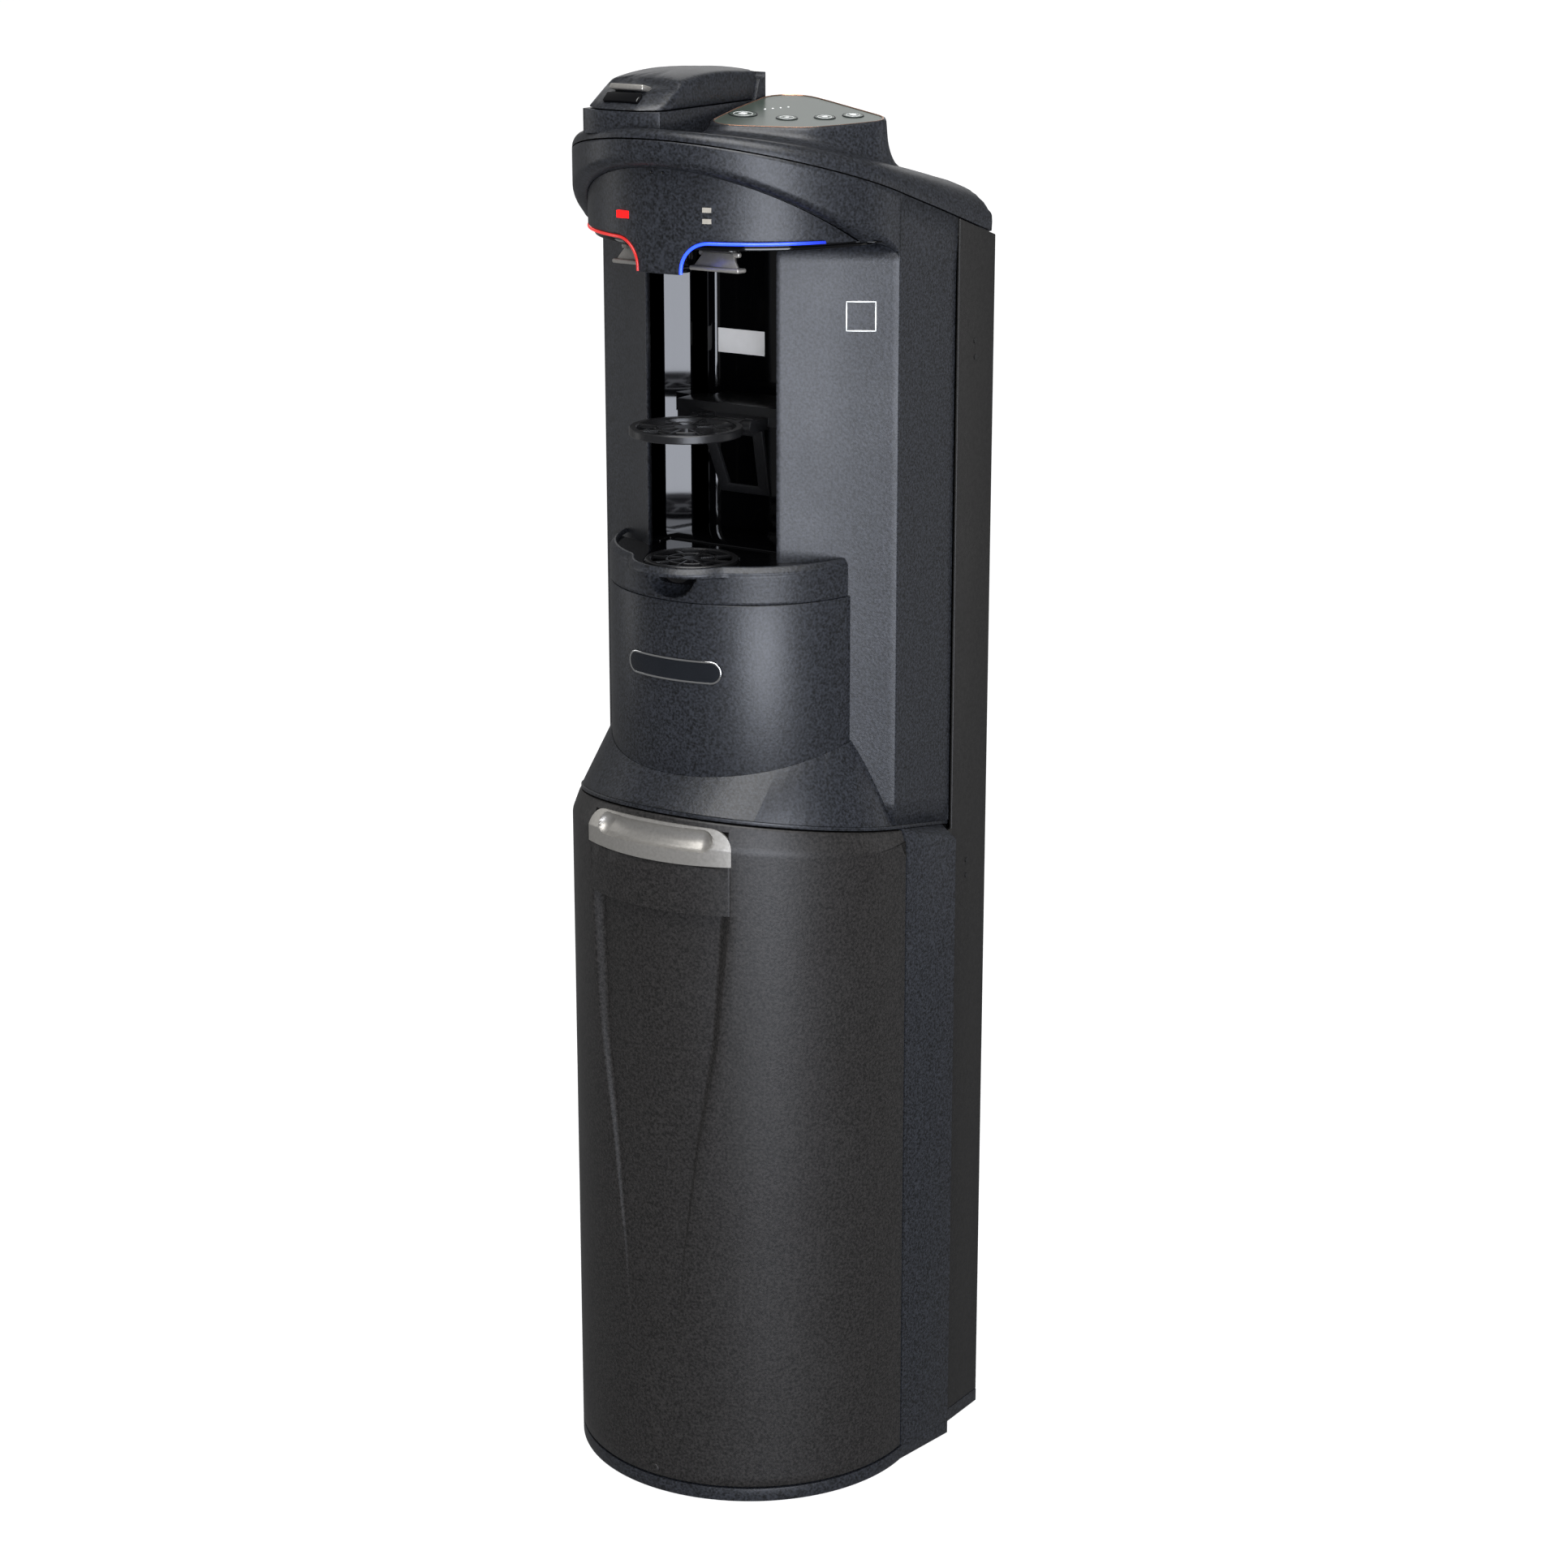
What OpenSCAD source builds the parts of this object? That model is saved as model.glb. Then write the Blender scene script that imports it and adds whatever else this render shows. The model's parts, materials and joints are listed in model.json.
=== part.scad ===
// Floor-standing bottom-loading water cooler with a single-cup pod brewer on its head.
// Frame: the origin is on the floor under the axis of the bowed door, the door faces -Y,
// +X is to the right of a person who stands in front of it, and +Z is up.

/* [Cabinet] */
// Radius of the bowed door and of the base
bow_r = 155; // [153:0.5:157]
// Distance from the bow's axis to the rear edge of the side panels
rear_y = 152; // [150:0.5:154]
// Height of the seam over the door, at the front
seam_z = 629; // [620:1:640]
// How far the seam over the door falls per millimetre towards the back
seam_fall = 0.194; // [0.18:0.002:0.2]
// Thickness of the moulded shells
wall = 3; // [2.4:0.1:3.2]

/* [Tray column] */
// Radius of the column under the drip tray
column_r = 119.5; // [118:0.5:120]
// Height of the drip tray's underside
tray_z = 806; // [800:1:810]
// Height of the drip tray's top
tray_top_z = 838; // [834:1:840]
// Radius of the round lip at the tray's front
lip_r = 52; // [50:0.5:53]

/* [Recess] */
// Half the width of the recess behind its opening
recess_x = 80; // [76:1:82]
// Distance from the bow's axis to the recess's back wall
recess_y = 40; // [36:1:42]
// Height of the recess's ceiling
ceiling_z = 1100; // [1098:1:1102]
// Height of the folding cup stand
stand_z = 946; // [930:1:960]

/* [Head] */
// Height of the seam under the head cap, at the front
cap_z = 1188.5; // [1186:0.5:1190]
// How far that seam falls per millimetre towards the back
cap_fall = 0.32; // [0.31:0.005:0.33]
// Radius of the nose fascia
nose_r = 137; // [135:0.5:138]
// Height of the brewer's lid above its base
lid_h = 28; // [26:1:30]

/* [Hidden] */
$fn = 64;
gap = 0.3;
door_y = 12;
door_end = door_y - 1.1;
frame_y = door_y + 1.1;
pillar_y = 80;
pillar_x = 164;
side_x = 152.8;
shoulder_x = sqrt(bow_r * bow_r - door_y * door_y);
base_top = 13.4;
door_z = 15;
hinge_x = -146;
hinge_y = 2;
hinge_reach = 10.9;
pin_r = 2.5;
tube_y = 120;
coil_y = 151.5;
seam_tilt = atan(seam_fall);
seam_x = 150;
wing_y = 91;
wing_top = ceiling_z - gap;
mouth_x = 65;
mouth_y = -56;
hood_r = 147;
visor_z = 1165;
visor_fall = 0.625;
nose_arc_x = 44.5;
badge_z = 748;
grille_y = -86;
grille_r = 40;
lip_y = -88;
tray_x = mouth_x - 0.6;
tray_back = -25;
stand_y = -93;
stand_r = 47.5;
stand_pivot_y = -38;
stand_pivot_z = stand_z - 2;
paddle_x = 38.5;
paddle_y = -98;
paddle_z = 1095;
brew_x = -38;
brew_y = -58;
brew_z = 1208;
lid_pivot_y = 21;
lid_pivot_z = brew_z + lid_h - 5;
panel_n = [0.08, -0.08, 1];
panel_p = [17, -86, 1200];
brew_spot = [28, -48, 11];
small_spot = [64, -38, 8];
medium_spot = [86.5, -16, 8];
large_spot = [100.5, 5, 8];

// Points of an arc about c, from angle a0 to angle a1.
function arc(c, r, a0, a1, n = 12) =
    [for (i = [0:n]) c + r * [cos(a0 + (a1 - a0) * i / n), sin(a0 + (a1 - a0) * i / n)]];
// The same outline's other half, mirrored in the line x = 0.
function mirrored(pts) = [for (i = [len(pts) - 1:-1:0]) [-pts[i][0], pts[i][1]]];
// Height of the control panel's plane over a point.
function panel_z(x, y) = panel_p[2] - panel_n[0] * (x - panel_p[0]) - panel_n[1] * (y - panel_p[1]);
// Height of the seam over the door.
function door_seam(y) = seam_z - seam_fall * (y + 145);

// Everything on the side of the plane through p that its normal n points to.
module beyond(p, n, s = 420)
    translate(p) rotate([0, acos(n[2] / norm(n)), atan2(n[1], n[0])])
        translate([-s, -s, 0]) cube([2 * s, 2 * s, s]);
// A prism that stands on a plan outline.
module prism(z0, z1) translate([0, 0, z0]) linear_extrude(z1 - z0) children();
// A prism that runs from front to back, over an outline in x and z.
module through(y0, y1) translate([0, y1, 0]) rotate([90, 0, 0]) linear_extrude(y1 - y0) children();
// The smallest convex body over a few points.
module point_hull(pts) hull() for (p = pts) translate(p) cube(0.02, center = true);
// The half-space in front of a plane of constant y.
module front_of(y) translate([-300, -400, -10]) cube([600, 400 + y, 1400]);

// Plan of the lower cabinet, drawn d inside its outer faces.
module lower_plan(d = 0) {
    intersection() {
        circle(r = bow_r - d, $fn = 120);
        translate([-200, -200]) square([400, 200 + door_y]);
    }
    polygon([[-shoulder_x + d, 0], [shoulder_x - d, 0], [shoulder_x - d, door_y],
             [pillar_x - d, pillar_y - d], [side_x - d, pillar_y - d], [side_x - d, rear_y - d],
             [d - side_x, rear_y - d], [d - side_x, pillar_y - d], [d - pillar_x, pillar_y - d],
             [d - shoulder_x, door_y]]);
}
module base_pan() color([0.12, 0.12, 0.13]) difference() {
    prism(1.5, base_top) lower_plan();
    prism(0, 9) lower_plan(5);
    translate([hinge_x, hinge_y, 5]) cylinder(r = pin_r, h = 10);
}
module levelling_feet() color([0.08, 0.08, 0.08])
    for (x = [-105, 105], y = [-80, 120]) translate([x, y, 0]) {
        cylinder(r = 15, h = 5);
        cylinder(r = 6, h = 9);
    }
module bottle_platform() color([0.16, 0.16, 0.17]) translate([0, 10, base_top]) difference() {
    cylinder(r = 130, h = 12, $fn = 96);
    translate([0, 0, 5]) cylinder(r = 126, h = 10, $fn = 96);
}
// One pillar of the door frame, with its sloped shoulder.
module pillar() point_hull([
    [143, frame_y, base_top + gap], [shoulder_x + 0.1, frame_y, base_top + gap],
    [pillar_x, pillar_y, base_top + gap], [147, pillar_y, base_top + gap],
    [143, frame_y, door_seam(frame_y) - 0.5], [seam_x - 0.2, frame_y, door_seam(frame_y) - 0.5],
    [shoulder_x + 0.1, frame_y, 583.4], [pillar_x, pillar_y, 574],
    [seam_x - 0.2, pillar_y, door_seam(pillar_y) - 0.5], [147, pillar_y, door_seam(pillar_y) - 0.5]]);
module pillar_right() color([0.13, 0.13, 0.14]) pillar();
module pillar_left() color([0.13, 0.13, 0.14]) mirror([1, 0, 0]) pillar();
// One side panel: wide below, and narrower beside the upper mouldings.
module side_panel() difference() {
    union() {
        translate([side_x - 2.6, wing_y + 0.8, base_top + gap]) cube([2.6, rear_y - wing_y - 0.8, 1120]);
        translate([side_x - 2.6, pillar_y + gap, base_top + gap]) cube([2.6, 20, 565]);
    }
    beyond([0, -145, cap_z - 0.8], [0, cap_fall, 1], 700);
}
module side_panel_right() color([0.11, 0.11, 0.12]) side_panel();
module side_panel_left() color([0.11, 0.11, 0.12]) mirror([1, 0, 0]) side_panel();
module back_panel() color([0.1, 0.1, 0.11]) difference() {
    translate([gap + 2.6 - side_x, 146, base_top + gap]) cube([2 * (side_x - 2.6 - gap), 2, 1076]);
    for (i = [0:9], s = [-1, 1]) translate([s * 70 - 35, 140, 930 + 12 * i]) cube([70, 12, 4]);
    translate([-14, 140, 640]) cube([28, 12, 20]);
    translate([44, 140, 640]) cube([22, 12, 30]);
}
module cabinet_divider() color([0.16, 0.16, 0.17]) difference() {
    prism(560, 563) {
        intersection() {
            circle(r = 133.5, $fn = 96);
            translate([-200, -200]) square([400, 220]);
        }
        translate([-142.5, 14]) square([285, 131]);
    }
    translate([0, tube_y, 550]) cylinder(r = 6, h = 20);
}
// Plan of the space inside the upper mouldings.
module upper_plan(d = 0) {
    intersection() {
        translate([0, 3]) circle(r = seam_x - d, $fn = 120);
        translate([-200, -200]) square([400, 194]);
    }
    translate([d - seam_x, -8]) square([2 * (seam_x - d), wing_y + 8]);
}
module upper_floor() color([0.12, 0.12, 0.13]) difference() {
    prism(570, 640) upper_plan(1);
    beyond([0, -145, seam_z + wall], [0, seam_fall, 1]);
    beyond([0, -145, seam_z], [0, -seam_fall, -1]);
    translate([hinge_x, hinge_y, 590]) cylinder(r = pin_r, h = 20);
    translate([0, tube_y, 560]) cylinder(r = 6, h = 60);
}
// One front wing: from the mouth of the recess to the corner, and back along the side.
module wing() difference() {
    prism(580, wing_top)
        polygon([[seam_x, 0], [mouth_x, mouth_y], [mouth_x, mouth_y + 3.6],
                 [seam_x - wall, 1.8], [seam_x - wall, wing_y], [seam_x - 0.4, wing_y]]);
    beyond([0, -145, seam_z + wall + gap], [0, -seam_fall, -1], 700);
}
module wing_right() color([0.15, 0.15, 0.16]) wing();
module wing_left() color([0.15, 0.15, 0.16]) mirror([1, 0, 0]) wing();
// The space in front of the two wings.
module front_space(d = gap) prism(560, 900)
    polygon([[-seam_x, -d], [-mouth_x, mouth_y - d], [mouth_x, mouth_y - d], [seam_x, -d],
             [seam_x, -300], [-seam_x, -300]]);
module tray_column() color([0.14, 0.14, 0.15]) difference() {
    intersection() {
        translate([0, 0, 600]) cylinder(r = column_r, h = tray_z - 600, $fn = 120);
        front_space();
    }
    translate([0, 0, 590]) cylinder(r = column_r - wall, h = tray_z - 590 - wall, $fn = 120);
    beyond([0, -145, seam_z + wall + gap], [0, -seam_fall, -1]);
}
// The cone between the seam over the door and the column, shrunk by d.
module flare(d) hull() {
    translate([0, 0, 684 - 2 * d]) rotate([12.4, 0, 0]) cylinder(r = column_r + 0.8 - d, h = 0.4);
    translate([0, 3, door_seam(3) + 0.6]) rotate([-seam_tilt, 0, 0])
        cylinder(r = seam_x - d, h = 0.4);
}
module flared_skirt() color([0.14, 0.14, 0.15]) difference() {
    intersection() {
        flare(0);
        front_space();
    }
    flare(wall);
    translate([0, 0, 590]) cylinder(r = column_r + gap, h = 200, $fn = 120);
    beyond([0, -145, seam_z + wall + gap], [0, -seam_fall, -1]);
}
// Plan of the recess, drawn d outside its inner faces.
module recess_plan(d = 0) {
    translate([-recess_x - d, -40]) square([2 * (recess_x + d), recess_y + 12]);
    translate([-recess_x + 28, -40]) square([2 * recess_x - 56, recess_y + 40 + d]);
    for (s = [-1, 1]) translate([s * (recess_x - 28), recess_y - 28]) circle(r = 28 + d);
}
module recess_liner() color([0.05, 0.05, 0.06]) difference() {
    prism(tray_z + gap, ceiling_z - gap) recess_plan(2.5);
    prism(tray_z - 10, ceiling_z + 10) {
        recess_plan();
        translate([-recess_x, -50]) square([2 * recess_x, 40]);
    }
}
module recess_deck() color([0.05, 0.05, 0.06]) prism(tray_top_z - 6, tray_top_z - 2) difference() {
    recess_plan(-gap);
    translate([-tray_x - gap, -100]) square([2 * (tray_x + gap), 100 + tray_back + gap]);
}
module recess_ceiling() color([0.05, 0.05, 0.06]) difference() {
    prism(ceiling_z, ceiling_z + wall) intersection() {
        translate([0, 6]) circle(r = nose_r - 5.5);
        translate([-140, -140]) square([280, 186]);
    }
    for (s = [-1, 1]) translate([s * paddle_x, -84, 1090]) cylinder(r = 6.1, h = 20);
    translate([0, -100, 1090]) cylinder(r = 14.1, h = 20);
}
// Plan of the head: a bow in front, then sides that flare to the rear corners.
module head_plan(d = 0) {
    translate([0, 2]) circle(r = hood_r - d, $fn = 120);
    polygon([[-hood_r + d, 2], [hood_r - d, 2], [side_x - d, 60], [side_x - d, rear_y + 1.4 - d],
             [d - side_x, rear_y + 1.4 - d], [d - side_x, 60]]);
}
module hood_band() color([0.15, 0.15, 0.16]) difference() {
    prism(wing_top + gap, 1200) head_plan();
    difference() {
        prism(wing_top - 10, 1210) head_plan(3.4);
        difference() {
            beyond([0, -131, visor_z], [0, visor_fall, 1]);
            beyond([0, -131, visor_z + 4], [0, visor_fall, 1]);
            translate([0, 6, 1000]) cylinder(r = nose_r - 5, h = 300, $fn = 120);
            translate([-200, -22, 1000]) cube([400, 300, 300]);
        }
    }
    beyond([0, -131, visor_z], [0, -visor_fall, -1]);
    beyond([0, -145, cap_z - 0.6], [0, cap_fall, 1]);
    translate([-200, wing_y, 1000]) cube([400, 300, 300]);
}
// Outline of the nose fascia in x and z, with its lower edge raised by d.
function nose_edge(d) = concat(
    [[140, 1105 + d]], arc([nose_arc_x, 1083], 22 + d, 90, 180), [[nose_arc_x - 22 - d, 1080]]);
module nose_outline(d) polygon(concat([[-140, 1180], [140, 1180]], nose_edge(d), mirrored(nose_edge(d))));
module nose_fascia() color([0.15, 0.15, 0.16]) difference() {
    intersection() {
        translate([0, 6, 1070]) difference() {
            cylinder(r = nose_r, h = 100, $fn = 120);
            translate([0, 0, -1]) cylinder(r = nose_r - wall, h = 102, $fn = 120);
        }
        through(-150, -20) nose_outline(3.2);
    }
    beyond([0, -131, visor_z - gap], [0, visor_fall, 1]);
    translate([-43.3, -150, 1121.7]) cube([17.6, 60, 6.6]);
    for (z = [1122, 1131]) translate([40, -150, z]) cube([7, 60, 4]);
    for (x = [-5, 6]) translate([x, -110, 1159]) rotate([90, 0, 0]) cylinder(r = 1.2, h = 40);
}
// A light pipe along the lower edge of the nose, on the +X side.
module light_pipe(x1) intersection() {
    translate([0, 6, 1070]) difference() {
        cylinder(r = nose_r + 0.5, h = 50, $fn = 120);
        translate([0, 0, -1]) cylinder(r = nose_r - wall, h = 52, $fn = 120);
    }
    through(-150, -20) intersection() {
        polygon(concat(nose_edge(0), [for (i = [len(nose_edge(0)) - 1:-1:0]) nose_edge(3)[i]]));
        translate([0, 1000]) square([x1, 200]);
    }
}
module blue_light_pipe() color([0.1, 0.2, 1]) light_pipe(118);
module red_light_pipe() color([0.9, 0.1, 0.1]) mirror([1, 0, 0]) light_pipe(126);
module indicator_lenses() color([0.7, 0.7, 0.6]) intersection() {
    translate([0, 6, 1110]) difference() {
        cylinder(r = nose_r + 0.4, h = 40, $fn = 120);
        translate([0, 0, -1]) cylinder(r = nose_r - wall, h = 42, $fn = 120);
    }
    for (z = [1122, 1131]) translate([40, -150, z]) cube([7, 60, 4]);
}
module water_spouts() color([0.7, 0.7, 0.72])
    for (s = [-1, 1]) translate([s * paddle_x, -84, 1084]) difference() {
        cylinder(r = 6, h = 30);
        translate([0, 0, -1]) cylinder(r = 3.5, h = 40);
    }
module brew_outlet() color([0.06, 0.06, 0.07]) difference() {
    union() {
        translate([0, -100, 1078]) cylinder(r1 = 9, r2 = 14, h = 12);
        translate([0, -100, 1090]) cylinder(r = 14, h = 50);
        translate([-17, -125.6, 1082]) cube([34, 15, 3]);
        translate([-8, -112, 1082]) cube([16, 12, 8]);
        translate([brew_x, brew_y, 1136]) cylinder(r = 30, h = 8);
        translate([brew_x, brew_y, 1144]) cylinder(r1 = 3, r2 = 0.8, h = 16);
        translate([brew_x, -100, 1136]) cube([-brew_x, 40, 4]);
    }
    translate([0, -100, 1070]) cylinder(r = 5, h = 66);
}
// The brewer's plan: a rounded block, drawn d inside its outer faces.
module brewer_plan(d = 0) intersection() {
    translate([brew_x, -47]) circle(r = 88 - d, $fn = 96);
    translate([brew_x - 38 + d, -150]) square([76 - 2 * d, 178 - d]);
}
// The cap's solid outline above its seam, shrunk by d.
module cap_block(d) difference() {
    prism(1080, 1210) head_plan(d);
    beyond([0, -140, 1197 - d], [0, 0.22, 1]);
    beyond([0, -hood_r + d, 1190], [0, -0.8, 1]);
    for (s = [-1, 1]) beyond([s * (side_x - d), 100, 1134], [s * 0.9, 0.26, 1]);
    for (s = [-1, 1]) beyond([s * 110, -100 + d, 1185], [s * 0.5, -0.4, 1]);
    beyond([0, rear_y - d, 1128], [0, 0.9, 1]);
}
module head_cap() color([0.13, 0.13, 0.14]) difference() {
    cap_block(0);
    cap_block(wall);
    beyond([0, -145, cap_z + 0.6], [0, -cap_fall, -1], 700);
    prism(1090, 1220) brewer_plan(-gap);
}
// The slanted plane between the lid and the fixed block behind it, moved back by d.
module behind_lid(d) beyond([0, lid_pivot_y - 9 + d, brew_z], [0, 1, -0.37]);
module lid_knuckle(r, w) translate([brew_x - w / 2, lid_pivot_y, lid_pivot_z])
    rotate([0, 90, 0]) cylinder(r = r, h = w);
module brewer_base() color([0.12, 0.12, 0.13]) difference() {
    union() {
        difference() {
            prism(1140, brew_z) brewer_plan();
            prism(1100, 1197) brewer_plan(wall);
            beyond([0, -140, 1191], [0, -0.22, -1]);
        }
        translate([brew_x, brew_y, 1144]) cylinder(r = 30, h = 54);
        intersection() {
            prism(brew_z - 1, lid_pivot_z - 1) brewer_plan();
            behind_lid(0.7);
        }
    }
    translate([brew_x, brew_y, 1130]) cylinder(r = 27.5, h = 100);
    lid_knuckle(6.5, 90);
}
// Plan of the control pod's rounded triangle, shrunk by d.
module pod_round(c, r, h) translate([c[0], c[1], 0]) cylinder(r = r, h = h, $fn = 36);
module pod_slab(d, h) hull() {
    pod_round([38, -75], 17 - d, h);
    pod_round([110, 2], 18 - d, h);
    pod_round([30, 22], 26 - d, h);
    pod_round([60.8, -24.2], 50 - d, h);
}
module pod_bezel() color([0.14, 0.14, 0.15]) difference() {
    hull() {
        translate([0, 0, panel_z(0, 0)])
            multmatrix([[1, 0, 0, 0], [0, 1, 0, 0], [-panel_n[0], -panel_n[1], 1, 0]]) pod_slab(-2.5, 0.4);
        translate([3, -1, 1160]) pod_slab(-11, 0.4);
    }
    translate([0, 0, panel_z(0, 0) - 4.7])
        multmatrix([[1, 0, 0, 0], [0, 1, 0, 0], [-panel_n[0], -panel_n[1], 1, 0]]) pod_slab(-gap, 12);
    for (b = [brew_spot, small_spot, medium_spot, large_spot])
        on_panel(b[0], b[1]) translate([0, 0, -8]) cylinder(r = b[2] + 1, h = 20);
    beyond([0, -140, 1197 + gap], [0, -0.22, -1]);
    prism(1100, 1300) brewer_plan(-gap);
}
// Children stand on the control panel's face, over the point x, y.
module on_panel(x, y) translate([x, y, panel_z(x, y)])
    rotate([0, acos(1 / norm(panel_n)), atan2(panel_n[1], panel_n[0])]) children();
module control_panel() color([0.06, 0.09, 0.08]) difference() {
    translate([0, 0, panel_z(0, 0) - 4.7])
        multmatrix([[1, 0, 0, 0], [0, 1, 0, 0], [-panel_n[0], -panel_n[1], 1, 0]]) pod_slab(0, 4.7);
    for (b = [brew_spot, small_spot, medium_spot, large_spot])
        on_panel(b[0], b[1]) translate([0, 0, -12]) cylinder(r = b[2] + 0.25, h = 20);
}
module panel_button(b) on_panel(b[0], b[1]) translate([0, 0, -3.2]) cylinder(r = b[2], h = 3.8);
module brew_button() color([0.1, 0.12, 0.12]) panel_button(brew_spot);
module small_cup_button() color([0.1, 0.12, 0.12]) panel_button(small_spot);
module medium_cup_button() color([0.1, 0.12, 0.12]) panel_button(medium_spot);
module large_cup_button() color([0.1, 0.12, 0.12]) panel_button(large_spot);
module stand_bracket() color([0.05, 0.05, 0.06]) difference() {
    union() {
        translate([-62, -16, stand_z - 6]) cube([124, 34, 16]);
        translate([-48, 17, stand_z - 6]) cube([96, recess_y - 17, 16]);
        for (s = [-1, 1]) translate([s * 27 - 4, -40, stand_z - 8]) cube([8, 26, 10]);
        for (s = [-1, 1]) translate([s * 27 - 4, stand_pivot_y, stand_pivot_z])
            rotate([0, 90, 0]) cylinder(r = 6, h = 8);
    }
    translate([-60, -14, stand_z - 7]) cube([120, 30, 12]);
    translate([-46, 15, stand_z - 7]) cube([92, recess_y - 18, 12]);
}
module stand_leg() color([0.05, 0.05, 0.06]) difference() {
    through(-26, 20)
      polygon([[-31, stand_z - 8.3], [31, stand_z - 8.3], [25, stand_z - 68], [-25, stand_z - 68]]);
    through(-40, 30)
      polygon([[-20, stand_z - 14], [20, stand_z - 14], [15, stand_z - 60], [-15, stand_z - 60]]);
    beyond([0, -26, stand_z - 8], [0, -1, -0.35]);
    beyond([0, -22, stand_z - 8], [0, 1, 0.35]);
}
module condenser_coil() color([0.06, 0.06, 0.06]) {
    for (i = [0:13]) translate([-110, coil_y, 690 + 28 * i]) rotate([0, 90, 0]) cylinder(r = 2.4, h = 220);
    for (i = [0:12]) translate([i % 2 == 0 ? 110 : -110, coil_y, 690 + 28 * i]) cylinder(r = 2.4, h = 28);
    for (i = [0:10]) translate([-100 + 20 * i, coil_y + 4.1, 682]) cylinder(r = 0.9, h = 380);
    for (s = [-1, 1], z = [690, 1054]) translate([s * 100 - 4, 148, z - 4]) cube([8, 3, 8]);
}
module compressor() color([0.1, 0.1, 0.1]) {
    translate([0, 58, 613]) cylinder(r = 50, h = 90);
    translate([0, 58, 703]) cylinder(r1 = 50, r2 = 30, h = 24);
    translate([-60, 12, 609]) cube([120, 96, 4]);
}
// A closed tank with a pipe hole through its top.
module tank(r, h) difference() {
    cylinder(r = r, h = h);
    translate([0, 0, 1.5]) cylinder(r = r - 1.5, h = h - 3);
    translate([0, 0, h - 5]) cylinder(r = 3, h = 10);
}
module cold_tank() color([0.75, 0.78, 0.8]) translate([-62, 97, 860]) tank(44, 170);
module hot_tank() color([0.75, 0.72, 0.68]) translate([62, 97, 860]) tank(40, 150);
module water_pump() color([0.2, 0.2, 0.22]) {
    translate([-110, 40, 620]) cube([40, 60, 4]);
    translate([-90, 45, 642]) rotate([-90, 0, 0]) cylinder(r = 18, h = 50);
}
module suction_tube() color([0.8, 0.8, 0.8]) difference() {
    union() {
        translate([0, tube_y, 470]) cylinder(r = 5.5, h = 175);
        translate([0, tube_y, 440]) cylinder(r = 24, h = 30);
        translate([0, tube_y, 420]) cylinder(r = 10, h = 20);
    }
    translate([0, tube_y, 400]) cylinder(r = 3, h = 300);
}
module rear_sockets() color([0.05, 0.05, 0.05]) difference() {
    union() {
        translate([-14 + gap, 136, 640 + gap]) cube([28 - 2 * gap, 14, 20 - 2 * gap]);
        translate([44 + gap, 136, 640 + gap]) cube([22 - 2 * gap, 14, 30 - 2 * gap]);
        translate([0, 137, 646]) cube([50, 3, 8]);
    }
    translate([-11, 142, 643]) cube([22, 12, 14]);
    for (x = [-6, 0, 6]) translate([x, 138, 650]) rotate([-90, 0, 0]) cylinder(r = 1.2, h = 6);
    translate([47, 141, 643]) cube([16, 14, 24]);
}
module power_rocker() color([0.6, 0.05, 0.05]) intersection() {
    translate([47.3, 148, 655]) rotate([0, 90, 0]) cylinder(r = 6.6, h = 15.4);
    translate([40, 143, 640]) cube([30, 9, 30]);
}
module badge() color([0.6, 0.6, 0.6]) intersection() {
    difference() {
        cylinder(r = column_r + 1.6, h = 900, $fn = 120);
        translate([0, 0, -1]) cylinder(r = column_r + 0.05, h = 902, $fn = 120);
    }
    through(-140, -60) {
        translate([-38, badge_z - 9]) square([76, 18]);
        for (s = [-1, 1]) translate([s * 38, badge_z]) circle(r = 9);
    }
}
module case_screws() color([0.1, 0.1, 0.1])
    for (s = [-1, 1], p = [[119, 1006], [120, 992], [118, 543], [118, 529]])
        translate([s * side_x, p[0], p[1]]) rotate([0, s * 90, 0]) cylinder(r = 2.2, h = 0.8);
module hinge_pins() color([0.7, 0.7, 0.7]) {
    translate([hinge_x, hinge_y, 9]) cylinder(r = pin_r, h = 29);
    translate([hinge_x, hinge_y, 570]) cylinder(r = pin_r, h = 32);
}
// The slanted cone that gives the door its top chamfer, moved out by d.
module chamfer_cone(d = 0) translate([0, 3, door_seam(3) - 1.5]) rotate([-seam_tilt, 0, 0])
    translate([0, 0, -700]) cylinder(r1 = seam_x + 700 * 0.26 + d, r2 = seam_x + d, h = 700, $fn = 120);
module door_block(d = 0) intersection() {
    translate([0, 0, door_z]) cylinder(r = bow_r + d, h = 640, $fn = 120);
    chamfer_cone(d);
    front_of(door_end);
}
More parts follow.
